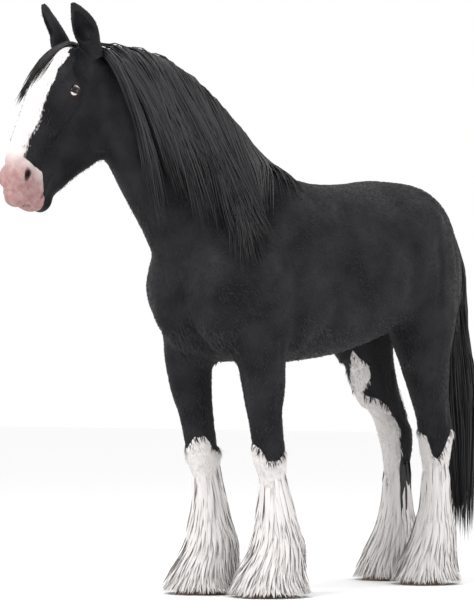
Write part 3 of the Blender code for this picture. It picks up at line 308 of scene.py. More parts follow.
def sections(group, rows, axis, up, side, power, blend, kind="join"):
    """A form through oval sections: place, low, high, inner, outer, share of the widest point."""
    rows = np.asarray(rows, float)
    first = rows[0, 0]
    last = rows[-1, 0]

    def distance(places):
        along = places[:, axis]
        at = np.clip(along, first, last)
        low, high, inner, outer, share = (smooth_through(rows[:, 0], rows[:, k], at) for k in range(1, 6))
        rise = places[:, up] - (low + (high - low) * share)
        across = places[:, side] - (inner + outer) / 2
        height = np.where(rise > 0, (high - low) * (1 - share), (high - low) * share)
        width = (outer - inner) / 2
        oval = ((np.abs(rise) / height) ** power + (np.abs(across) / width) ** power) ** (1 / power)
        out = np.hypot(rise, across)
        depth = np.where(oval < 0.001, -np.minimum(height, width), out - out / np.maximum(oval, 1e-6))
        within = np.minimum(along - first, last - along)
        return np.where(within < 0, np.hypot(np.maximum(depth, 0), within), np.maximum(depth, -within))

    low = np.zeros(3)
    high = np.zeros(3)
    low[[axis, up, side]] = first, rows[:, 1].min(), rows[:, 3].min()
    high[[axis, up, side]] = last, rows[:, 2].max(), rows[:, 4].max()
    group.put(kind, low, high, blend, distance)


def muscle(group, centre, radii, blend, tilt=0, kind="join"):
    """An ellipsoid, tilted by some degrees about the sideways line through its centre."""
    centre = np.asarray(centre, float)
    radii = np.asarray(radii, float)
    c = cos(radians(tilt))
    s = sin(radians(tilt))
    matrix = np.array([[c, 0, s], [0, 1, 0], [-s, 0, c]])

    def distance(places):
        inside = (places - centre) @ matrix
        reach = np.linalg.norm(inside / radii, axis=1)
        slope = np.linalg.norm(inside / radii ** 2, axis=1)
        return reach * (reach - 1) / np.maximum(slope, 1e-9)

    extent = np.abs(matrix) @ radii
    group.put(kind, centre - extent, centre + extent, blend, distance)


def from_stretch(places, start, end):
    """How far along a straight stretch places are, as a share of it, and how far off it."""
    start = np.asarray(start, float)
    run = end - start
    share = np.clip((places - start) @ run / (run @ run), 0, 1)
    return share, np.linalg.norm(places - start - share[:, None] * run, axis=1)


def from_line(places, line):
    """How far off a bent line places are."""
    return np.min([from_stretch(places, start, end)[1] for start, end in zip(line[:-1], line[1:])], axis=0)


def rod(group, start, end, start_radius, end_radius, blend, kind="join"):
    """A straight tapered form with round ends."""
    def distance(places):
        share, out = from_stretch(places, start, end)
        return out - (start_radius + (end_radius - start_radius) * share)

    radius = max(start_radius, end_radius)
    group.put(kind, np.minimum(start, end) - radius, np.maximum(start, end) + radius, blend, distance)


def furrow(group, line, depth, width):
    """A soft groove along a bent line."""
    line = np.asarray(line, float)

    def distance(places):
        return depth * np.exp(-(from_line(places, line) / width) ** 2)

    reach = 2.5 * width
    group.put("move", line.min(0) - reach, line.max(0) + reach, 0.0, distance)


# Croup, thigh, buttock, front of the thigh and point of the hip, then shoulder blade, upper arm and
# point of the shoulder, then the breast: centre, radii, blend and tilt, on the left side

TRUNK_MUSCLES = [
    ((-0.45, 0.120, 1.565), (0.21, 0.130, 0.170), 0.08, 0),
    ((-0.50, 0.155, 1.350), (0.19, 0.120, 0.290), 0.07, 14),
    ((-0.70, 0.085, 1.335), (0.105, 0.080, 0.23), 0.09, -6),
    ((-0.385, 0.200, 1.270), (0.13, 0.090, 0.270), 0.08, 20),
    ((-0.33, 0.262, 1.580), (0.085, 0.045, 0.060), 0.09, 0),
    ((0.50, 0.180, 1.500), (0.13, 0.085, 0.300), 0.10, 27),
    ((0.47, 0.230, 1.250), (0.155, 0.080, 0.150), 0.07, 20),
    ((0.750, 0.230, 1.300), (0.132, 0.100, 0.165), 0.10, 0),
    ((0.835, 0.110, 1.240), (0.138, 0.120, 0.180), 0.06, -10),
    ((0.65, 0.100, 1.070), (0.20, 0.100, 0.080), 0.08, 0),
]

# Lines behind the shoulder, over the upper arm, in the flank and down the thigh: depth, width, course

TRUNK_LINES = [
    (0.006, 0.050, [(0.22, 0.26, 1.62), (0.26, 0.32, 1.45), (0.27, 0.33, 1.28), (0.31, 0.31, 1.18)]),
    (0.009, 0.028, [(0.62, 0.31, 1.42), (0.60, 0.315, 1.30), (0.56, 0.30, 1.18)]),
    (0.007, 0.030, [(0.88, 0.21, 1.42), (0.82, 0.27, 1.36), (0.70, 0.32, 1.38)]),
    (0.014, 0.060, [(-0.20, 0.33, 1.58), (-0.22, 0.33, 1.44), (-0.20, 0.32, 1.30)]),
    (0.008, 0.032, [(-0.58, 0.27, 1.50), (-0.62, 0.25, 1.34), (-0.62, 0.22, 1.18)]),
    (0.006, 0.035, [(-0.38, 0.31, 1.50), (-0.42, 0.30, 1.34), (-0.42, 0.29, 1.20)]),
]


def trunk_group():
    group = Group((0, 0, 0), np.eye(3))
    rows = [(x, low, high, -half, half, share) for x, low, high, half, share in TRUNK]
    sections(group, rows, axis=0, up=2, side=1, power=2.2, blend=0.02)
    for s in (1, -1):
        flip = np.array([1, s, 1])
        for centre, radii, blend, tilt in TRUNK_MUSCLES:
            muscle(group, centre * flip, radii, blend, tilt)
        for depth, width, line in TRUNK_LINES:
            furrow(group, line * flip, depth, width)
    furrow(group, [(0.95, 0, 1.42), (0.945, 0, 1.20), (0.88, 0, 1.08), (0.78, 0, 1.01)], 0.020, 0.022)
    # Root of the tail and the start of the dock, hanging close behind the buttocks
    rod(group, (-0.962, 0, 1.42), (-0.965, 0, 1.02), 0.092, 0.098, 0.02, kind="cut")
    rod(group, (-0.76, 0, 1.575), (-0.880, 0, 1.535), 0.050, 0.040, 0.04)
    rod(group, (-0.880, 0, 1.535), TAIL_TURN, 0.040, 0.032, 0.015)
    rod(group, TAIL_TURN, TAIL_CORE_END, 0.032, 0.024, 0.01)
    return group


def neck_group():
    along = unit(NECK_POLL - NECK_BASE)
    side = unit(np.cross((0, 0, 1), along))
    group = Group(NECK_BASE, [along, side, np.cross(along, side)])
    rows = [(s, low, high, mid - half, mid + half, share) for s, low, high, mid, half, share in NECK]
    sections(group, rows, axis=0, up=2, side=1, power=2.1, blend=0.10)
    return group


def head_axes():
    """Down the face, to the head's left and out from the face."""
    forward = np.array([cos(radians(HEAD_YAW)), sin(radians(HEAD_YAW)), 0.0])
    lean = radians(HEAD_PITCH)
    up = np.array([0.0, 0.0, 1.0])
    down_face = sin(lean) * forward - cos(lean) * up
    out = cos(lean) * forward + sin(lean) * up
    return down_face, np.cross(up, forward), out


def head_group(detailed=True):
    group = Group(HEAD_AT, head_axes(), HEAD_SCALE)
    rows = [(s, low, high, -half, half, share) for s, low, high, half, share in HEAD]
    sections(group, rows, axis=0, up=2, side=1, power=2.4, blend=0.05)
    if not detailed:
        return group
    muscle(group, (0.115, 0, 0.058), (0.075, 0.062, 0.042), 0.03)
    muscle(group, (0.622, 0, -0.158), (0.042, 0.038, 0.030), 0.018)
    muscle(group, (0.690, 0, -0.030), (0.032, 0.046, 0.040), 0.02)
    for s in (1, -1):
        flip = np.array([1, s, 1])
        # Jaw plate, temple, brow, cheek ridge and edge of the nose bone
        muscle(group, (0.200, s * 0.066, -0.165), (0.150, 0.036, 0.140), 0.025)
        muscle(group, (0.140, s * 0.070, 0.052), (0.055, 0.030, 0.030), 0.03)
        muscle(group, EYE * flip + (-0.012, -s * 0.008, 0.008), (0.046, 0.030, 0.036), 0.020)
        rod(group, (0.250, s * 0.092, -0.026), (0.400, s * 0.066, -0.026), 0.015, 0.007, 0.018)
        rod(group, (0.25, s * 0.035, 0.078), (0.56, s * 0.028, 0.052), 0.022, 0.018, 0.02)
        # Hollows over the eye, before the cheek and along the nose
        muscle(group, (0.112, s * 0.096, 0.024), (0.036, 0.008, 0.024), 0.045, kind="cut")
        furrow(group, [(0.36, s * 0.072, -0.045), (0.46, s * 0.064, -0.030), (0.56, s * 0.06, -0.012)],
               0.006, 0.022)
        furrow(group, [(0.345, s * 0.075, -0.10), (0.335, s * 0.08, -0.16), (0.31, s * 0.07, -0.22)],
               0.006, 0.018)
        # Nostril with its rim
        muscle(group, (0.610, s * 0.049, 0.014), (0.050, 0.025, 0.036), 0.016)
        muscle(group, (0.614, s * 0.073, 0.016), (0.027, 0.022, 0.013), 0.005, tilt=25, kind="cut")
        # Line of the mouth
        furrow(group, MOUTH * flip, 0.009, 0.0075)
        # Lids round the eye
        facing = unit(EYE_FACING) * flip
        muscle(group, EYE * flip, (0.0325, 0.0325, 0.0325), 0.010)
        muscle(group, EYE * flip + facing * 0.030, (0.0280, 0.018, 0.0175), 0.003, kind="cut")
    return group


def ear_group(s):
    """One ear, upright, with its cup turned forward and out. s is 1 on the left, -1 on the right."""
    down_face, left, out = head_axes()
    forward = unit(np.array([left[1], -left[0], 0.0]))
    lean, aside = (0.58, 0.10) if s > 0 else (0.42, 0.24)
    along = unit(np.array([0, 0, 1.0]) + lean * forward + s * aside * left)
    cup = 0.84 * forward + s * 0.54 * left
    cup = unit(cup - (cup @ along) * along)
    root = HEAD_AT + 0.012 * down_face + s * 0.080 * left + 0.002 * out
    group = Group(root, [along, np.cross(along, cup), cup], EAR_SCALE)
    inward = -1 if np.cross(along, cup) @ left * s > 0 else 1
    shape = [
        (-0.03, 0.030, 0.030, 0.000), (0.02, 0.036, 0.033, 0.000), (0.06, 0.042, 0.030, 0.000),
        (0.10, 0.038, 0.024, 0.001), (0.13, 0.028, 0.018, 0.004), (0.155, 0.016, 0.013, 0.009),
        (EAR_LENGTH, 0.007, 0.007, 0.013),
    ]
    rows = [(a, -d, d, inward * t - w, inward * t + w, 0.45) for a, w, d, t in shape]
    sections(group, rows, axis=0, up=2, side=1, power=2.0, blend=0.012)
    hollow = [
        (0.040, 0.014, 0.010, 0.000), (0.062, 0.030, 0.026, 0.000), (0.09, 0.029, 0.022, 0.001),
        (0.120, 0.018, 0.013, 0.004), (0.142, 0.006, 0.004, 0.008),
    ]
    rows = [(a, 0.010 - d, 0.030 + d, inward * t - w, inward * t + w, 0.5) for a, w, d, t in hollow]
    sections(group, rows, axis=0, up=2, side=1, power=2.0, blend=0.004, kind="cut")
    return group


def leg_group(s, y, table, shift=lambda z: 0.0):
    """A leg through its sections, moved along X by a shift that depends on the height."""
    group = Group((0, 0, 0), np.diag([1.0, s, 1.0]))
    rows = []
    for z, back, front, inner, outer in table:
        rows.append((z, back + shift(z), front + shift(z), y + inner, y + outer, 0.5))
    sections(group, rows, axis=2, up=0, side=1, power=2.15, blend=0.05)
    return group


def fore_leg_group(s):
    y = FOOT_Y_FORE
    group = leg_group(s, y, FORE_LEG)
    # Elbow, outer and rear muscles of the forearm, bone behind the knee
    muscle(group, (0.500, y + 0.045, 1.10), (0.055, 0.040, 0.075), 0.05)
    muscle(group, (0.705, y + 0.040, 0.955), (0.060, 0.050, 0.150), 0.05, tilt=6)
    muscle(group, (0.640, y + 0.025, 0.930), (0.050, 0.055, 0.150), 0.04, tilt=8)
    muscle(group, (0.555, y - 0.010, 0.590), (0.020, 0.030, 0.035), 0.03)
    furrow(group, [(0.675, y + 0.11, 1.05), (0.668, y + 0.10, 0.90), (0.650, y + 0.08, 0.75)], 0.006, 0.022)
    return group


def hind_shift(s, z):
    """How far a hind leg has stepped back at a height: the right one rests further back."""
    full = STEP_BACK if s < 0 else 0.0
    return full * min(1.0, max(0.0, (1.20 - z) / 0.58))


def hind_leg_group(s):
    y = FOOT_Y_HIND

    def shift(z):
        return hind_shift(s, z)

    group = leg_group(s, y, HIND_LEG, shift)
    # Tendon to the point of the hock, muscle of the gaskin, stifle
    rod(group, (-0.645 + shift(0.68), y, 0.675), (-0.560 + shift(0.92), y + 0.01, 0.93), 0.022, 0.040, 0.04)
    muscle(group, (-0.455 + shift(0.93), y + 0.040, 0.93), (0.065, 0.050, 0.150), 0.05, tilt=8)
    muscle(group, (-0.355 + shift(1.06), y + 0.030, 1.065), (0.050, 0.055, 0.080), 0.07)
    furrow(group, [(-0.585 + shift(0.90), y + 0.09, 0.90), (-0.590 + shift(0.80), y + 0.07, 0.80),
                   (-0.600 + shift(0.72), y + 0.06, 0.72)], 0.010, 0.018)
    return group


def feet():
    """Each foot: name, middle of the coronet, side of the body."""
    places = []
    for name, s in (("left", 1), ("right", -1)):
        places.append(("fore", name, np.array([FOOT_X_FORE, s * FOOT_Y_FORE]), s))
        shift = hind_shift(s, 0.0)
        places.append(("hind", name, np.array([FOOT_X_HIND + shift, s * FOOT_Y_HIND]), s))
    return places


HEAD_PARTS = [neck_group(), head_group(), ear_group(1), ear_group(-1)]
BODY_PARTS = [trunk_group(), neck_group(), head_group(detailed=False)]
for side_sign in (1, -1):
    BODY_PARTS.append(fore_leg_group(side_sign))
    BODY_PARTS.append(hind_leg_group(side_sign))
FORWARD = np.array([cos(radians(HEAD_YAW)), sin(radians(HEAD_YAW)), 0.0])
JOIN_POINT = np.array([1.140, -0.17, 2.00])
JOIN_NORMAL = unit(FORWARD + np.array([0, 0, 0.05]))


def past_join(points):
    """How far points lie on the head's side of the plane where its fine skin begins."""
    return (points - JOIN_POINT) @ JOIN_NORMAL


def depth_in(groups):
    """The distance from the surface of all groups together, below nothing inside."""
    def depth(points):
        result = np.full(len(points), 1.0)
        for group in groups:
            result = group.apply(points, result)
        return result
    return depth


def outward(depth, points, reach=0.003):
    """Directions straight out of the surface."""
    slopes = [depth(points + step) - depth(points - step) for step in reach * np.eye(3)]
    return units(np.stack(slopes, axis=1))


def surface(depth, low, high, step):
    """Corners and four-sided faces of the surface where the depth is nothing."""
    low = np.asarray(low, float)
    count = np.ceil((np.asarray(high) - low) / step).astype(int) + 1
    block = min(8, max(2, int(FORM_MARGIN / step)))
    blocks = np.ceil(count / block).astype(int)
    middles = [low[k] + (np.arange(blocks[k]) * block + block / 2) * step for k in range(3)]
    centres = np.stack(np.meshgrid(*middles, indexing="ij"), -1).reshape(-1, 3)
    coarse = depth(centres)
    grid = coarse.reshape(blocks).astype(np.float32)
    for k in range(3):
        grid = np.repeat(grid, block, k)
    near = np.argwhere((np.abs(coarse) < block * step + 0.02).reshape(blocks))
    inside = np.stack(np.meshgrid(*[np.arange(block)] * 3, indexing="ij"), -1).reshape(-1, 3)
    cells = (near[:, None, :] * block + inside[None]).reshape(-1, 3)
    for first in range(0, len(cells), NET_PART):
        part = cells[first:first + NET_PART]
        grid[tuple(part.T)] = depth(low + part * step)
    filled = grid < 0
    offsets = [(i, j, k) for i in (0, 1) for j in (0, 1) for k in (0, 1)]
    total = np.zeros(np.array(filled.shape) - 1, np.int8)
    for i, j, k in offsets:
        total += filled[i:i + total.shape[0], j:j + total.shape[1], k:k + total.shape[2]]
    mixed = (total > 0) & (total < 8)
    active = np.argwhere(mixed)
    sums = np.zeros((len(active), 3))
    crossings = np.zeros(len(active))
    for start in offsets:
        for k in range(3):
            if start[k]:
                continue
            end = list(start)
            end[k] = 1
            depth_a = grid[tuple((active + start).T)].astype(float)
            depth_b = grid[tuple((active + end).T)].astype(float)
            crossed = (depth_a < 0) != (depth_b < 0)
            share = np.where(crossed, depth_a / np.where(crossed, depth_a - depth_b, 1), 0)
            place = np.array(start) + share[:, None] * (np.array(end) - np.array(start))
            sums[crossed] += place[crossed]
            crossings[crossed] += 1
    corners = low + (active + sums / crossings[:, None]) * step
    number = np.full(mixed.shape, -1, np.int32)
    number[tuple(active.T)] = np.arange(len(active))
    axes = np.eye(3, dtype=int)
    faces = []
    for axis in range(3):
        here = [slice(1, -1)] * 3
        there = [slice(1, -1)] * 3
        here[axis] = slice(0, -1)
        there[axis] = slice(1, None)
        first = filled[tuple(here)]
        crossed = np.argwhere(first != filled[tuple(there)])
        one = axes[(axis + 1) % 3]
        two = axes[(axis + 2) % 3]
        ring = [number[tuple((crossed + shift).T)] for shift in (0 * one, one, one + two, two)]
        ring = np.stack(ring, axis=1)
        backward = ~first[tuple(crossed.T)]
        ring[backward] = ring[backward][:, ::-1]
        faces.append(ring)
    return corners, np.concatenate(faces)


def settled(depth, corners, step):
    """Moves corners onto the surface."""
    away = outward(depth, corners, 0.001)
    return corners - away * np.clip(depth(corners), -step, step)[:, None]


body_depth = depth_in(BODY_PARTS)
head_depth = depth_in(HEAD_PARTS)
plain_depth = depth_in([neck_group(), head_group(detailed=False)])


# Meshes


def fast_mesh(name, corners, faces, values=None, uvs=None, smooth=True):
    """An object from arrays. Corners come in the horse's own frame."""
    faces = np.asarray(faces)
    sides = faces.shape[1]
    mesh = bpy.data.meshes.new(name)
    mesh.vertices.add(len(corners))
    mesh.vertices.foreach_set("co", (corners + CENTRE_SHIFT).astype(np.float32).ravel())
    mesh.loops.add(faces.size)
    mesh.loops.foreach_set("vertex_index", faces.astype(np.int32).ravel())
    mesh.polygons.add(len(faces))
    mesh.polygons.foreach_set("loop_start", np.arange(0, faces.size, sides, dtype=np.int32))
    mesh.update(calc_edges=True)
    mesh.polygons.foreach_set("use_smooth", np.full(len(faces), smooth))
    for key, value in (values or {}).items():
        layer = mesh.attributes.new(key, "FLOAT", "POINT")
        layer.data.foreach_set("value", np.asarray(value, np.float32))
    if uvs is not None:
        layer = mesh.uv_layers.new(name="OFBake")
        layer.data.foreach_set("uv", np.asarray(uvs, np.float32).ravel())
    thing = bpy.data.objects.new(name, mesh)
    bpy.context.scene.collection.objects.link(thing)
    return thing


def cut_off(corners, faces, offset, keep):
    """Keeps the triangles on one side of the join plane and cuts the last ones clean at an offset."""
    height = past_join(corners) - offset
    good = (height[faces] * keep > 0).any(axis=1)
    faces = faces[good]
    used, faces = np.unique(faces, return_inverse=True)
    faces = faces.reshape(-1, 3)
    corners = corners[used]
    height = height[used] * keep
    inside = height[faces] > 0
    whole = faces[inside.all(axis=1)]
    crossing = faces[~inside.all(axis=1)]
    flags = inside[~inside.all(axis=1)]
    new_corners = list(corners)
    made = {}

    def between(a, b):
        key = (min(a, b), max(a, b))
        if key not in made:
            share = height[a] / (height[a] - height[b])
            made[key] = len(new_corners)
            new_corners.append(corners[a] + (corners[b] - corners[a]) * share)
        return made[key]

    extra = []
    for face, flag in zip(crossing, flags):
        start = int(np.argmax(flag)) if flag.sum() == 1 else (int(np.argmin(flag)) + 1) % 3
        a, b, c = (int(face[(start + k) % 3]) for k in range(3))
        if flag.sum() == 1:
            extra.append((a, between(a, b), between(a, c)))
        else:
            extra.append((a, b, between(b, c)))
            extra.append((a, between(b, c), between(a, c)))
    ring = np.array(sorted(made.values()))
    return np.array(new_corners), np.concatenate([whole, np.array(extra)]), ring


def zipped(corners, first, second):
    """A strip of triangles between two rings round the neck, each sorted by its angle.

    Two angles past all others mark the end of a ring's turn and a ring that has no corner left.
    """
    side = unit(np.cross((0, 0, 1), JOIN_NORMAL))
    up = np.cross(JOIN_NORMAL, side)
    middle = corners[first].mean(axis=0)

    def by_angle(ring):
        away = corners[ring] - middle
        angles = np.arctan2(away @ up, away @ side)
        order = np.argsort(angles)
        return ring[order], np.append(angles[order], (FULL_TURN, USED_UP))

    first, first_angles = by_angle(first)
    second, second_angles = by_angle(second)
    i = j = 0
    faces = []
    while i < len(first) or j < len(second):
        a = first[i % len(first)]
        b = second[j % len(second)]
        if first_angles[i + 1] <= second_angles[j + 1]:
            faces.append((a, b, first[(i + 1) % len(first)]))
            i += 1
        else:
            faces.append((a, b, second[(j + 1) % len(second)]))
            j += 1
    faces = np.array(faces)
    a, b, c = corners[faces.T]
    normals = np.cross(b - a, c - a)
    out = corners[faces].mean(axis=1) - middle
    back = (normals * out).sum(axis=1) < 0
    faces[back] = faces[back][:, ::-1]
    return faces


def half_skin(depth, box, step, side):
    """The skin on one side of the join plane, with the ring of corners where it ends."""
    def under_coat(points):
        return depth(points) + COAT

    corners, faces = surface(under_coat, *box, step)
    corners = settled(under_coat, corners, step)
    return cut_off(corners, np.concatenate([faces[:, [0, 1, 2]], faces[:, [0, 2, 3]]]), side * SEAM, side)


def skin_arrays():
    """One surface over the whole body, fine on the head, joined by a narrow strip round the neck."""
    body, body_faces, body_ring = half_skin(body_depth, BODY_BOX, BODY_STEP, -1)
    head, head_faces, head_ring = half_skin(head_depth, HEAD_BOX, HEAD_STEP, 1)
    corners = np.concatenate([body, head])
    strip = zipped(corners, body_ring, head_ring + len(body))
    return corners, np.concatenate([body_faces, head_faces + len(body), strip])


# Markings, and painted shade in the nostrils and along the mouth's line, as soft masks worked out from the
# place on the body


def ripple(points, scale, seed=0.0):
    """A smooth uneven value between about -1 and 1."""
    x, y, z = (points * scale).T
    value = np.sin(x + 1.7 * np.sin(0.8 * y + seed) + seed)
    value += np.sin(1.3 * y + 1.5 * np.sin(0.9 * z + 2.1 * seed) + 1.1)
    value += np.sin(1.1 * z + 1.6 * np.sin(1.2 * x + 0.7 * seed) + 2.3)
    return value / 3


def soft(value, width):
    """0 below nothing, 1 above it, with a soft step of the given width."""
    share = np.clip(value / width + 0.5, 0, 1)
    return share * share * (3 - 2 * share)


HEAD_FRAME = Group(HEAD_AT, head_axes(), HEAD_SCALE)

# The blaze: place down the face, its edge to the right and its edge to the left

BLAZE = [
    (0.020, -0.030, 0.022),
    (0.070, -0.056, 0.046),
    (0.130, -0.066, 0.066),
    (0.165, -0.060, 0.056),
    (0.210, -0.052, 0.060),
    (0.340, -0.048, 0.058),
    (0.450, -0.044, 0.052),
    (0.540, -0.048, 0.048),
    (0.620, -0.060, 0.054),
    (0.700, -0.070, 0.066),
]


def spread(distance):
    """A signed distance as a value round one half, which the material steps sharply."""
    return np.clip(0.5 + distance / MASK_REACH, 0, 1)


def blaze_mask(points):
    down, left, out = HEAD_FRAME.local(points).T
    table = np.array(BLAZE)
    low = smooth_through(table[:, 0], table[:, 1], down)
    high = smooth_through(table[:, 0], table[:, 2], down)
    rough = 0.0022 * ripple(points, 90.0) + 0.0010 * ripple(points, 300.0, 2.0)
    inside = np.minimum(left - low, high - left) + rough
    inside = np.minimum(inside, down - 0.012)
    inside = np.minimum(inside, out + 0.030 + 0.03 * (down > 0.60))
    spot = 0.012 - np.linalg.norm(HEAD_FRAME.local(points) - (0.095, 0.055, 0.085), axis=1) + 0.4 * rough
    return spread(np.maximum(inside, spot))


def pink_mask(points):
    """The bare skin of the muzzle: its border against the black, and its soft tint against the blaze."""
    down, left, out = HEAD_FRAME.local(points).T
    rough = 0.004 * ripple(points, 70.0, 1.0)
    inside = np.minimum(down - 0.560 + rough, out + 0.100 + 0.9 * (down - 0.62) + rough)
    high = points[:, 2] > 1.5
    return spread(inside) * high, soft(down - 0.570 + rough, 0.13) * high


def sock_heights(points):
    """Height of the white's upper border on the leg that a point belongs to."""
    x, y, z = points.T
    border = np.where(x > 0, np.where(y > 0, 0.600, 0.630), np.where(y > 0, 0.620, 0.560))
    rough = 0.018 * ripple(points * (1, 1, 0.3), 55.0) + 0.008 * ripple(points * (1, 1, 0.3), 150.0, 3.0)
    angle = np.arctan2(y - np.sign(y) * 0.17, x - np.where(x > 0, 0.62, -0.55))
    peak = np.where(x > 0, 0.035, 0.060) * np.cos(2 * angle + np.sign(y))
    return border + rough + peak


# The white patch up the front of the far hind leg: height, its rear edge and its front edge,
# both measured along a line that runs forward and inward

PATCH = [
    (0.40, -0.510, 1.000),
    (0.515, -0.339, 1.000),
    (0.63, -0.326, 1.000),
    (0.70, -0.321, 1.000),
    (0.79, -0.267, 1.000),
    (0.82, -0.213, 1.000),
    (0.84, -0.152, -0.020),
    (0.86, -0.163, -0.118),
    (0.90, -0.195, -0.104),
    (0.97, -0.186, -0.100),
    (1.02, -0.121, -0.104),
    (1.05, -0.105, -0.115),
]


def sock_mask(points):
    x, y, z = points.T
    inside = sock_heights(points) - z
    heights, rear, front = np.array(PATCH).T
    slant = 0.616 * x - 0.788 * y + 0.007 * ripple(points, 60.0, 5.0)
    patch = np.minimum(slant - np.interp(z, heights, rear), np.interp(z, heights, front) - slant)
    far_hind = (x < -0.1) & (y < -0.06)
    inside = np.where(far_hind, np.maximum(inside - 0.05, patch), inside)
    return np.where(z < 1.06, spread(inside), 0.0)


def white_mask(points):
    return np.maximum(blaze_mask(points) * (points[:, 2] > 1.4), sock_mask(points))


def dark_rim_and_shade_mask(points):
    """Painted shade in the nostrils and along the mouth's line, with the dark skin of the eyes' rims."""
    place = HEAD_FRAME.local(points)
    place[:, 1] = np.abs(place[:, 1])
    # The nostrils and the mouth's line are painted shade; the lids are the eyes' own dark rims
    from_nostril = np.linalg.norm((place - (0.614, 0.062, 0.014)) * (0.62, 1.0, 1.1), axis=1)
    nostril = soft(0.015 - from_nostril, 0.010)
    lids = soft(0.0350 - np.linalg.norm(place - EYE, axis=1), 0.006)
    mouth = 0.55 * soft(0.0045 - from_line(place, MOUTH), 0.006)
    return np.maximum(np.maximum(nostril, lids), mouth)


# A flat map of the skin's own shape: every stretch of the body is unrolled round its own axis


def turn_share(across, up):
    """A turn round an axis as a share of a full one, half at straight up."""
    return np.arctan2(across, up) / (2 * pi) + 0.5


def unrolled(points):
    x, y, z = points.T
    uv = np.zeros((len(points), 2))
    head = past_join(points) > 0
    place = neck_group().local(points)
    neck = ~head & (place[:, 0] > 0.1) & (z > 1.45)
    leg = ~head & ~neck & (z < 0.95) & (x > -0.9)
    trunk = ~head & ~neck & ~leg
    angle = turn_share(y, z - 1.36)
    uv[trunk] = np.stack([0.01 + 0.46 * (x + 1.05) / 2.1, 0.01 + 0.46 * angle], axis=1)[trunk]
    angle = turn_share(place[:, 1], place[:, 2])
    uv[neck] = np.stack([0.51 + 0.22 * place[:, 0] / 1.2, 0.01 + 0.46 * angle], axis=1)[neck]
    down, left, out = HEAD_FRAME.local(points).T
    angle = turn_share(left, out + 0.09)
    uv[head] = np.stack([0.76 + 0.23 * (down + 0.25) / 1.0, 0.01 + 0.46 * angle], axis=1)[head]
    number = (x > 0).astype(int) * 2 + (y > 0)
    centre = np.where(x > 0, 0.62, -0.55 - 0.10 * (y < 0))
    angle = turn_share(np.abs(y) - 0.17, x - centre)
    uv[leg] = np.stack([0.01 + 0.245 * number + 0.22 * angle, 0.51 + 0.46 * z], axis=1)[leg]
    return np.clip(uv, 0.002, 0.994)


# Hair: flat tapered locks of three sides, closed at both ends


def hair_arrays(paths, widths, thickness, facing):
    count, stations = paths.shape[:2]
    share = np.linspace(0, 1, stations)
    shape = np.interp(share, LOCK_PLACES, LOCK_WIDTHS)
    ahead = np.empty_like(paths)
    ahead[:, 1:-1] = paths[:, 2:] - paths[:, :-2]
    ahead[:, 0] = paths[:, 1] - paths[:, 0]
    ahead[:, -1] = paths[:, -1] - paths[:, -2]
    ahead = units(ahead)
    out = units(facing - (facing * ahead).sum(axis=2, keepdims=True) * ahead)
    across = np.cross(ahead, out)
    half = widths[:, None, None] * shape[None, :, None] / 2
    thick = thickness * (0.35 + 0.65 * shape[None, :, None])
    rings = np.stack([paths + across * half, paths + out * thick, paths - across * half], axis=2)
    corners = np.concatenate([rings[:, :-1].reshape(count, -1, 3), paths[:, -1:]], axis=1)
    per_lock = corners.shape[1]
    faces = [(0, 1, 2)]
    for k in range(stations - 2):
        for side in range(3):
            a = 3 * k + side
            b = 3 * k + (side + 1) % 3
            faces += [(a, a + 3, b + 3), (a, b + 3, b)]
    last = 3 * (stations - 2)
    for side in range(3):
        faces.append((last + side, per_lock - 1, last + (side + 1) % 3))
    faces = np.array(faces)[:, ::-1]
    along = np.repeat(share, 3)[:per_lock]
    across_share = np.append(np.tile([0, 0.5, 1.0], stations - 1), 0.5)
    return corners, faces, along, across_share


def hair_pieces(name, chance, paths, widths, thickness, facing, material, smooth=True):
    """Meshes of many locks, split so that none grows too large."""
    tone = chance.uniform(0, 1, len(paths))
    corners, faces, along, across_share = hair_arrays(paths, widths, thickness, facing)
    per_lock = corners.shape[1]
    at_most = PIECE_LIMIT // len(faces)
    roots = unrolled(paths[:, 0])
    white = (white_mask(paths[:, 0]) > 0.5).astype(float)
    patch = np.stack([across_share, along], axis=1) * TUFT_PATCH
    for number, first in enumerate(range(0, len(paths), at_most)):
        chosen = slice(first, first + at_most)
        part = corners[chosen]
        every = (faces[None] + per_lock * np.arange(len(part))[:, None, None]).reshape(-1, 3)
        uv = (roots[chosen][:, None] + patch[None]).reshape(-1, 2)[every.ravel()]
        values = {"white": np.repeat(white[chosen], per_lock), "tone": np.repeat(tone[chosen], per_lock)}
        thing = fast_mesh(name + "_%d" % number, part.reshape(-1, 3), every, values, uv, smooth)
        thing.data.materials.append(material)
        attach(thing, "root")


def sunk(roots, depth, by):
    """Roots moved straight in or out until they lie a little under the surface."""
    return roots - outward(depth, roots) * (depth(roots) + by)[:, None]


def facing_from(depth, paths):
    """The way out of the surface all along the paths."""
    return outward(depth, paths.reshape(-1, 3)).reshape(paths.shape)


def lifts_along(stations, sunk_by, full_at, raised):
    """Lifts off the surface: below it at the root, then each lock's own from early on."""
    lifts = np.interp(np.linspace(0, 1, stations), [0, full_at, 1.0], [-sunk_by, 1.0, 1.0])[None]
    return np.where(lifts > 0, lifts * raised[:, None], lifts)


def combed(roots, heading, lengths, lifts, depth):
    """Paths that leave their roots, follow the heading and keep their lift off the body."""
    count, stations = lifts.shape
    paths = np.zeros((count, stations, 3))
    places = roots.copy()
    paths[:, 0] = places
    for k in range(1, stations):
        away = outward(depth, places)
        way = units(heading(places, away, k / (stations - 1)))
        places = places + way * (lengths / (stations - 1))[:, None]
        for _ in range(2):
            push = np.maximum(lifts[:, k] - depth(places), 0)
            places = places + outward(depth, places) * push[:, None]
        paths[:, k] = places
    for _ in range(2):
        paths[:, 1:-1] = 0.5 * paths[:, 1:-1] + 0.25 * (paths[:, :-2] + paths[:, 2:])
    return paths


# Materials


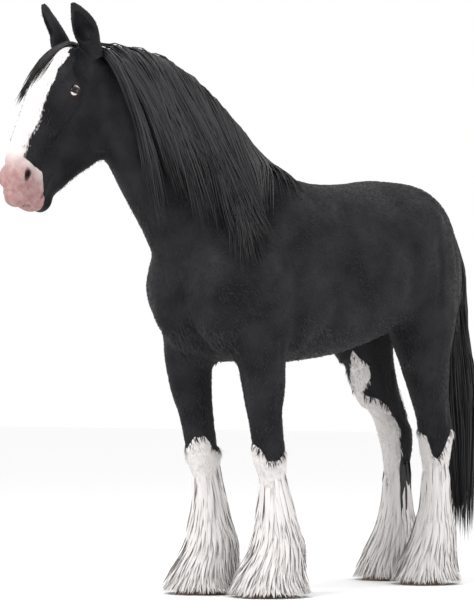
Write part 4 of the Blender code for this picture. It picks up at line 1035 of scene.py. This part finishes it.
class Look:
    """A material with its nodes. What goes into a node is a value or another node's output."""

    def __init__(self, name, roughness, specular=0.5):
        self.material = bpy.data.materials.new(name)
        self.material.use_nodes = True
        self.nodes = self.material.node_tree.nodes
        self.links = self.material.node_tree.links
        self.shader = self.nodes["Principled BSDF"]
        self.shader.inputs["Roughness"].default_value = roughness
        self.shader.inputs["Specular IOR Level"].default_value = specular

    def feed(self, socket, value):
        if isinstance(value, bpy.types.NodeSocket):
            self.links.new(value, socket)
        else:
            socket.default_value = (*value, 1.0) if socket.type == "RGBA" else value

    def node(self, kind, output, inputs):
        """A new node, fed at the inputs named. Gives the output asked for."""
        node = self.nodes.new("ShaderNode" + kind)
        for key, value in inputs.items():
            self.feed(node.inputs[key], value)
        return node.outputs[output]

    def attribute(self, key):
        node = self.nodes.new("ShaderNodeAttribute")
        node.attribute_name = key
        return node.outputs["Fac"]

    def noise(self, scale, detail, stretch=(1.0, 1.0, 1.0)):
        place = self.node("TexCoord", "Object", {})
        place = self.node("Mapping", "Vector", {"Vector": place, "Scale": stretch})
        return self.node("TexNoise", "Fac", {"Vector": place, "Scale": scale, "Detail": detail})

    def mixed(self, share, first, second):
        """A colour between two."""
        node = self.nodes.new("ShaderNodeMix")
        node.data_type = "RGBA"
        for number, value in ((0, share), (6, first), (7, second)):
            self.feed(node.inputs[number], value)
        return node.outputs[2]

    def ramped(self, value, low, high):
        """A value stretched so that low gives 0 and high gives 1."""
        return self.node("MapRange", "Result", {"Value": value, "From Min": low, "From Max": high})

    def marked(self):
        """The white mask stepped sharply, with its edge broken up as fur breaks it."""
        node = self.nodes.new("ShaderNodeMath")
        node.operation = "MULTIPLY_ADD"
        values = (self.noise(130.0, 3.0, (1.0, 1.0, 0.30)), 0.16, self.attribute("white"))
        for number, value in enumerate(values):
            self.feed(node.inputs[number], value)
        return self.ramped(node.outputs[0], 0.55, 0.61)

    def bump(self, height, strength, distance):
        inputs = {"Height": height, "Strength": strength, "Distance": distance}
        self.feed(self.shader.inputs["Normal"], self.node("Bump", "Normal", inputs))

    def coloured(self, colour):
        """Gives the shader its colour and hands the material over."""
        self.feed(self.shader.inputs["Base Color"], colour)
        return self.material


def skin_material():
    """Short coat: black, with white and pink by the masks, painted shade in the nostrils and the mouth's
    line, dark rims round the eyes, and fine hair as bump.
    """
    look = Look("short_coat", 0.5, 0.06)
    broad = look.ramped(look.noise(7.0, 3.0), 0.35, 0.68)
    black = look.mixed(broad, BLACK, BLACK_LIGHT)
    fine = look.noise(320.0, 2.0, (1.0, 1.0, 0.25))
    white = look.mixed(look.ramped(fine, 0.3, 0.7), WHITE_SHADE, WHITE)
    freckle = look.ramped(look.noise(40.0, 3.0), 0.35, 0.70)
    white = look.mixed(look.attribute("pink"), white, look.mixed(freckle, PINK, PINK_LIGHT))
    coat = look.mixed(look.marked(), black, white)
    look.bump(fine, 0.35, 0.0015)
    # Painted shade in the nostrils and the mouth's line, and the eyes' dark rims, by the dark attribute
    return look.coloured(look.mixed(look.attribute("dark"), coat, DARK_SKIN_AND_SHADE))


def hair_material(name, dark, light, roughness, white=True, specular=0.3):
    """Hair, each lock a little different in tone, and white where its root is."""
    look = Look(name, roughness, specular)
    tone = look.attribute("tone")
    colour = look.mixed(tone, dark, light)
    if white:
        colour = look.mixed(look.attribute("white"), colour, look.mixed(tone, WHITE_SHADE, WHITE))
    look.bump(look.noise(500.0, 2.0, (1.0, 1.0, 0.15)), 0.4, 0.001)
    return look.coloured(colour)


def horn_material():
    look = Look("horn", 0.5)
    rings = look.noise(60.0, 3.0, (0.15, 0.15, 3.0))
    look.bump(rings, 0.4, 0.003)
    return look.coloured(look.mixed(rings, HORN_DARK, HORN_LIGHT))


def eye_material():
    look = Look("eye", 0.05, 0.35)
    colour = look.mixed(look.attribute("iris"), EYE_WHITE, IRIS)
    return look.coloured(look.mixed(look.attribute("pupil"), colour, PUPIL))


# Skin

skin_corners, skin_faces = skin_arrays()
bare, tint = pink_mask(skin_corners)
skin = fast_mesh("skin", skin_corners, skin_faces, {
    "white": np.maximum(white_mask(skin_corners), bare),
    "pink": tint,
    # painted shade in the nostrils and the mouth's line, and the eyes' dark rims
    "dark": dark_rim_and_shade_mask(skin_corners),
})
skin.data.materials.append(skin_material())
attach(skin, "root")
flesh_nodes = ["torso", "neck", "head", "ear_left", "ear_right", "tail"]
for place in ("fore", "hind"):
    for name in ("left", "right"):
        flesh_nodes.append(place + "_upper_" + name)
        flesh_nodes.append(place + "_lower_" + name)
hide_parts(*flesh_nodes)


# Eyes and hooves


def closed_rings(rings, first, last):
    """A closed surface over rings of corners, with a single corner at either end."""
    around = len(rings[0])
    corners = np.concatenate([[first], *rings, [last]])
    end = 1 + (len(rings) - 1) * around
    faces = []
    for i in range(around):
        j = (i + 1) % around
        faces.append((0, 1 + i, 1 + j))
        for a in range(1, end, around):
            faces.append((a + i, a + around + i, a + around + j))
            faces.append((a + i, a + around + j, a + j))
        faces.append((end + i, len(corners) - 1, end + j))
    return corners, np.array(faces)


def ball_arrays(centre, radius, facing):
    """A ball whose pole looks out of the eye."""
    across = unit(np.cross(facing, (0.3, 0.2, 1.0)))
    up = np.cross(across, facing)
    turn = 2 * pi * np.arange(EYE_AROUND)[:, None] / EYE_AROUND
    circle = np.cos(turn) * across + np.sin(turn) * up
    tilts = [pi * k / EYE_RINGS for k in range(1, EYE_RINGS)]
    rings = [centre + radius * (cos(tilt) * facing + sin(tilt) * circle) for tilt in tilts]
    return closed_rings(rings, centre + radius * facing, centre - radius * facing)


def hoof_arrays(middle):
    """A hoof from its coronet down to the floor, faintly ringed."""
    turn = 2 * pi * np.arange(HOOF_AROUND) / HOOF_AROUND
    rings = []
    for level in np.linspace(0, 1, HOOF_RINGS):
        z = (HOOF_TOP - 0.001) * (1 - level)
        ridge = 0.0006 * cos(9 * pi * level)
        ahead = np.interp(level, [0, 0.5, 1], [0.0, 0.022, 0.042])
        length = np.interp(level, [0, 0.5, 1], [0.0745, 0.088, 0.098]) + ridge
        width = np.interp(level, [0, 0.5, 1], [0.0725, 0.084, 0.093]) + ridge
        rings.append(np.stack([middle[0] + ahead + length * np.cos(turn), middle[1] + width * np.sin(turn),
                               np.full(HOOF_AROUND, z)], axis=1))
    return closed_rings(rings, rings[0].mean(axis=0), rings[-1].mean(axis=0))


eye_look = eye_material()
for name, s in (("left", 1), ("right", -1)):
    facing = unit(EYE_FACING * (1, s, 1)) @ HEAD_FRAME.axes
    centre = HEAD_FRAME.world(EYE * (1, s, 1))
    corners, faces = ball_arrays(centre, EYE_RADIUS, facing)
    gaze = unit(facing + 0.22 * HEAD_FRAME.axes[2])
    aim = (corners - centre) @ gaze / EYE_RADIUS
    along = (corners - centre) @ HEAD_FRAME.axes[0] / EYE_RADIUS
    eye = fast_mesh("eyeball_" + name, corners, faces, {
        "iris": soft(aim - 0.40 - 1.35 * along ** 2, 0.06),
        "pupil": soft(aim - 0.93, 0.03),
    })
    eye.data.materials.append(eye_look)
    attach(eye, "root")
    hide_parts("eye_" + name)

horn = horn_material()
for place, name, middle, s in feet():
    hoof = fast_mesh(place + "_horn_" + name, *hoof_arrays(middle))
    hoof.data.materials.append(horn)
    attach(hoof, "root")
    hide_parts(place + "_hoof_" + name)


# Mane, from the crest down the near side of the neck

black_hair = hair_material("black_hair", MANE_DARK, MANE_LIGHT, 0.42, white=False)
feather_hair = hair_material("feather_hair", FEATHER_DARK, FEATHER_LIGHT, 0.60)


def mane_paths(chance, count):
    neck = neck_group()
    table = np.array(NECK)
    at = chance.uniform(0.30, 1.27, count)
    high = smooth_through(table[:, 0], table[:, 2], at) - 0.62 * np.maximum(at - 1.13, 0)
    mid = smooth_through(table[:, 0], table[:, 3], at)
    roots = neck.world(np.stack([at, mid + chance.uniform(-0.010, 0.034, count), high - 0.004], axis=1))
    roots = sunk(roots, body_depth, 0.006)
    clump = np.floor(at / 0.035).astype(int) % 64
    own = chance.uniform(-1, 1, 64)[clump]
    reach = np.interp(at, [0.30, 0.42, 0.60, 0.80, 1.05], [0.18, 0.34, 0.66, 0.86, 0.78]) * (1 + 0.10 * own)
    reach *= chance.uniform(0.72, 1.04, count)
    raised = 0.006 + 0.038 * np.sqrt(chance.uniform(0, 1, count))
    raised *= np.interp(at, [0.32, 0.55, 0.70, 1.00], [0.30, 0.75, 1.00, 1.15])
    raised += np.interp(at, [0.8, 1.05], [0.0, 0.010])
    wave = chance.uniform(0, 2 * pi, 64)[clump]
    sway = chance.uniform(-0.05, 0.05, count) + 0.10 * own

    def heading(places, away, share):
        way = np.zeros_like(places)
        way[:, 2] = -1.0 + 0.5 * max(0.0, 1 - 6 * share)
        lean = np.interp(at, [0.30, 0.60, 1.00, 1.27], [0.12, -0.02, -0.34, -0.46]) + sway
        way[:, 0] = lean * min(1.0, 3 * share) + 0.10 * np.sin(7 * share + wave)
        way[:, 1] = np.interp(at, [0.8, 1.2], [0.9, 1.5]) * max(0.0, 1 - 3.0 * share)
        return way - 0.85 * np.minimum(0, (way * away).sum(axis=1))[:, None] * away

    return combed(roots, heading, reach, lifts_along(13, 0.006, 0.14, raised), body_depth)


chance = np.random.default_rng(MANE_SEED)
paths = mane_paths(chance, MANE_LOCKS)
widths = chance.uniform(*MANE_WIDTHS, len(paths))
facing = facing_from(body_depth, paths)
hair_pieces("mane", chance, paths, widths, MANE_THICKNESS, facing, black_hair)


# Forelock, from the poll between the ears, over the far side of the forehead


def forelock_paths(chance, count):
    across = chance.uniform(-0.045, 0.035, count)
    down = chance.uniform(-0.03, 0.012, count)
    roots = HEAD_FRAME.world(np.stack([down, across, np.full(count, 0.03)], axis=1))
    roots = sunk(roots, plain_depth, 0.005)
    down_face, left, out = head_axes()
    drift = np.interp(across, [-0.045, 0.035], [-0.75, -0.40]) + chance.uniform(-0.08, 0.08, count)
    raised = chance.uniform(0.004, 0.026, count)

    def heading(places, away, share):
        return down_face + (drift * (1 - 0.9 * share))[:, None] * left + 0.5 * max(0.0, 1 - 3 * share) * out

    lengths = chance.uniform(0.20, 0.34, count)
    return combed(roots, heading, lengths, lifts_along(9, 0.005, 0.2, raised), plain_depth)


chance = np.random.default_rng(FORELOCK_SEED)
paths = forelock_paths(chance, FORELOCK_LOCKS)
widths = chance.uniform(*FORELOCK_WIDTHS, len(paths))
facing = facing_from(plain_depth, paths)
hair_pieces("forelock", chance, paths, widths, FORELOCK_THICKNESS, facing, black_hair)


# Tail


def tail_paths(chance, count):
    root = 1.585 - 0.605 * chance.uniform(0, 1, count) ** 1.2
    angle = chance.uniform(0, 2 * pi, count)
    radial = np.stack([np.cos(angle), np.sin(angle), 0 * angle], axis=1)
    end = np.interp(root, [0.98, 1.25, 1.53], [0.20, 0.34, 0.60]) + chance.uniform(-0.08, 0.12, count)
    spread = chance.uniform(0.035, 0.092, count)
    stations = 13
    paths = np.zeros((count, stations, 3))
    for k in range(stations):
        a = k / (stations - 1)
        z = root + (end - root) * a ** 1.3
        radius = np.interp(a, [0, 0.12, 0.5, 1.0], [0.0, 0.55, 1.0, 0.72]) * spread
        radius = radius * np.interp(z, [0.85, 1.12], [1.0, 0.55])
        radius = np.maximum(radius, 0.046) if k else np.full(count, 0.016)
        deep = np.interp(z, [1.20, 1.35], [0.72, 1.0])
        ahead = np.minimum(deep * radial[:, 0] * radius, np.interp(z, [0.95, 1.15], [0.10, 0.040]))
        middle = np.interp(z, [0.98, 1.40, 1.535, 1.585], [-0.945, -0.925, -0.868, -0.825])
        paths[:, k, 0] = middle + ahead - 0.012 * a + 0.006 * np.sin(5 * a + 3 * angle)
        paths[:, k, 1] = 1.20 * radial[:, 1] * radius + 0.018 * a + 0.006 * np.cos(6 * a + 2 * angle)
        paths[:, k, 2] = z
    high = paths[:, 0, 2] > 1.42
    paths[high, 0] = sunk(paths[high, 0], body_depth, 0.005)
    return paths, np.repeat(radial[:, None], stations, axis=1)


chance = np.random.default_rng(TAIL_SEED)
paths, facing = tail_paths(chance, TAIL_LOCKS)
widths = chance.uniform(*TAIL_WIDTHS, len(paths))
hair_pieces("tail_hair", chance, paths, widths, TAIL_THICKNESS, facing, black_hair)


# Feather: long white hair from knees and hocks, fullest behind and over the hooves


def feather_paths(chance, count, place, middle, s):
    table = np.array(FORE_LEG if place == "fore" else HIND_LEG)
    top = chance.uniform(0.0, 1.0, count) ** 1.15 * 0.42 + 0.095
    top += chance.normal(0, 0.022, count) * (top > 0.36)
    behind = chance.uniform(0, 1, count) < np.interp(top, [0.10, 0.30, 0.50], [0.35, 0.55, 0.80])
    angle = np.where(behind, pi + chance.normal(0, 0.8, count), chance.uniform(-pi, pi, count))
    length = np.interp(top, [0.10, 0.30, 0.52], [0.13, 0.24, 0.22]) * chance.uniform(0.8, 1.15, count)
    end = np.maximum(top - length, chance.uniform(0.004, 0.018, count))
    radial = np.stack([np.cos(angle), np.sin(angle), 0 * angle], axis=1)
    stations = 8
    paths = np.zeros((count, stations, 3))
    levels = np.linspace(0, 0.8, 81)
    shift = np.array([hind_shift(s, z) if place == "hind" else 0.0 for z in levels])
    reach = np.interp(end, [0.0, 0.10, 0.22, 0.40], [0.196, 0.160, 0.118, 0.074])
    reach = (reach - (0.022 if place == "hind" else 0.0)) * np.interp(np.cos(angle), [-1, 1], [1.0, 0.90])
    reach = reach * chance.uniform(0.82, 1.0, count)
    bend = chance.normal(0, 0.10, count)
    for k in range(stations):
        a = k / (stations - 1)
        z = top + (end - top) * a
        moved = np.interp(z, levels, shift)
        back = smooth_through(table[:, 0], table[:, 1], z) + moved
        front = smooth_through(table[:, 0], table[:, 2], z) + moved
        half = (front - back) / 2
        start = half - 0.012 + 0.016 * a / 0.25
        flare = half + 0.004 + np.maximum(reach - half, 0.006) * max(0.0, (a - 0.25) / 0.75) ** 0.9
        out = start if a < 0.25 else flare
        over = 0.0745 + 0.0235 * np.clip(1 - z / HOOF_TOP, 0, 1) + 0.004
        ahead = np.where(z < HOOF_TOP, 0.042 * np.clip(1 - z / HOOF_TOP, 0, 1), 0)
        over = over + np.maximum(ahead * radial[:, 0], 0)
        out = np.where(z < HOOF_TOP + 0.01, np.maximum(out, over), out)
        turn = angle + bend * a
        paths[:, k, 0] = (front + back) / 2 + np.cos(turn) * out
        paths[:, k, 1] = middle[1] + np.sin(turn) * out
        paths[:, k, 2] = z
    return paths, np.repeat(radial[:, None], stations, axis=1)


for number, (place, name, middle, s) in enumerate(feet()):
    chance = np.random.default_rng(FEATHER_SEED + number)
    paths, facing = feather_paths(chance, FEATHER_LOCKS, place, middle, s)
    widths = chance.uniform(*FEATHER_WIDTHS, len(paths))
    hair_pieces("feather_%s_%s" % (place, name), chance, paths, widths, FEATHER_THICKNESS, facing,
                feather_hair, smooth=False)


# Short fur: small tufts that lie along the coat and break its outline on every side


def lie_of_coat(points):
    """The way the short coat lies: back along the trunk, down the legs and down the face."""
    x, y, z = points.T
    way = np.stack([-0.85 + 0 * x, 0 * x, -0.5 + 0 * x], axis=1)
    leg = np.clip((1.15 - z) / 0.25, 0, 1)[:, None]
    way = way * (1 - leg) + leg * np.array([-0.12, 0.0, -1.0])
    face = soft(past_join(points) - 0.04, 0.10)[:, None]
    down_face, left, out = head_axes()
    return way * (1 - face) + face * (down_face - 0.25 * out)


def tuft_paths(chance, points, normals, reach, lift):
    way = lie_of_coat(points) + chance.normal(0, 0.22, (len(points), 3))
    way = units(way - (way * normals).sum(axis=1, keepdims=True) * normals)
    middle = points + way * reach[:, None] * 0.45 + normals * lift[:, None] * 0.8
    tip = points + way * reach[:, None] + normals * lift[:, None]
    return np.stack([points - normals * 0.0030, middle, tip], axis=1)


def scattered(chance, corners, faces, count):
    """Random places on a mesh, even by area, with the mesh's normal there."""
    a, b, c = corners[faces.T]
    cross = np.cross(b - a, c - a)
    area = np.linalg.norm(cross, axis=1)
    total = np.cumsum(area)
    chosen = np.searchsorted(total, chance.uniform(0, total[-1], count))
    u, v = chance.uniform(0, 1, (2, count))
    over = u + v > 1
    u, v = np.where(over, 1 - u, u)[:, None], np.where(over, 1 - v, v)[:, None]
    places = a[chosen] + u * (b - a)[chosen] + v * (c - a)[chosen]
    return places, cross[chosen] / area[chosen, None]


def fur(name, places, normals, seed, reach, lift, width):
    chance = np.random.default_rng(seed)
    count = len(places)
    small = np.where(past_join(places) > 0.02, 0.5, 1.0) * chance.uniform(0.7, 1.3, count)
    paths = tuft_paths(chance, places, normals, reach * small, lift * small)
    facing = np.repeat(normals[:, None], 3, axis=1)
    hair_pieces(name, chance, paths, width * small, FUR_THICKNESS, facing, fur_hair,
                smooth=False)


fur_hair = hair_material("fur_hair", FUR_DARK, FUR_LIGHT, 0.5, specular=0.12)
chance = np.random.default_rng(FUR_SEED)
places, normals = scattered(chance, skin_corners, skin_faces, FUR_TUFTS)
on_head = HEAD_FRAME.local(places)
muzzle = (on_head[:, 0] > 0.54) & (places[:, 2] > 1.4)
on_head[:, 1] = np.abs(on_head[:, 1])
near_eye = np.linalg.norm(on_head - EYE, axis=1) < 0.045
keep = ~near_eye & ~muzzle & (places[:, 2] > 0.14)
fur("fur", places[keep], normals[keep], FUR_SEED + 1, 0.018, 0.0014, 0.0026)

# Longer fur under the belly and jaw, behind the elbows and thighs, and along the borders of the white

edge = np.abs(white_mask(places) - 0.5) < 0.30
low = (normals[:, 2] < -0.55) & (places[:, 2] > 0.9)
elbow = np.all(np.abs(places - (0.46, 0.0, 1.08)) < (0.08, 0.30, 0.10), axis=1)
thigh = (places[:, 0] < -0.70) & (places[:, 2] > 0.75) & (places[:, 2] < 1.30) & (normals[:, 0] < -0.3)
chosen = keep & (edge | low | elbow | thigh)
moved = places[chosen] + 0.002 * chance.normal(0, 1, (chosen.sum(), 3))
fur("long_fur", moved, normals[chosen], FUR_SEED + 2, 0.032, 0.0050, 0.0040)


# Floor, light and camera


bpy.context.scene.view_settings.view_transform = "Standard"
bpy.ops.mesh.primitive_plane_add(size=FLOOR_SIZE, location=(0, 0, 0))
floor = bpy.context.object
floor.name = "floor"
floor.data.materials.append(Look("pale_floor", 0.9).coloured((0.95, 0.95, 0.95)))

world = bpy.data.worlds.new("studio")
world.use_nodes = True
world.node_tree.nodes["Background"].inputs["Color"].default_value = (1.0, 1.0, 1.0, 1.0)
world.node_tree.nodes["Background"].inputs["Strength"].default_value = 1.0
bpy.context.scene.world = world


def area_light(name, place, target, size, power):
    light = bpy.data.lights.new(name, "AREA")
    light.size = size
    light.energy = power
    lamp = bpy.data.objects.new(name, light)
    bpy.context.scene.collection.objects.link(lamp)
    lamp.location = place
    lamp.rotation_euler = direction_angles(np.asarray(target, float) - place)


def direction_angles(aim):
    """Turns for a camera or lamp so that it looks along a direction, upright."""
    flat = np.hypot(aim[0], aim[1])
    return (pi / 2 + atan2(aim[2], flat), 0.0, atan2(-aim[0], aim[1]))


toward = np.array([sin(VIEW_TURN), cos(VIEW_TURN), 0.0])
to_right = np.array([-cos(VIEW_TURN), sin(VIEW_TURN), 0.0])
area_light("key", 4.0 * toward - 3.5 * to_right + (0, 0, 5.0), (0, 0, 1.2), 3.0, KEY_POWER)
area_light("top", np.array([-0.5, 0.5, 6.0]), (0, 0, 1.0), 3.5, TOP_POWER)
area_light("side", 2.5 * toward + 5.0 * to_right + (0, 0, 2.5), (0, 0, 1.2), 2.5, SIDE_POWER)

camera_data = bpy.data.cameras.new("camera")
camera_data.lens = VIEW_LENS
camera = bpy.data.objects.new("camera", camera_data)
bpy.context.scene.collection.objects.link(camera)
camera_place = VIEW_DISTANCE * toward + (0, 0, VIEW_HEIGHT) + CENTRE_SHIFT
camera.location = camera_place
camera.rotation_euler = direction_angles(VIEW_AIM + CENTRE_SHIFT - camera_place)
bpy.context.scene.camera = camera
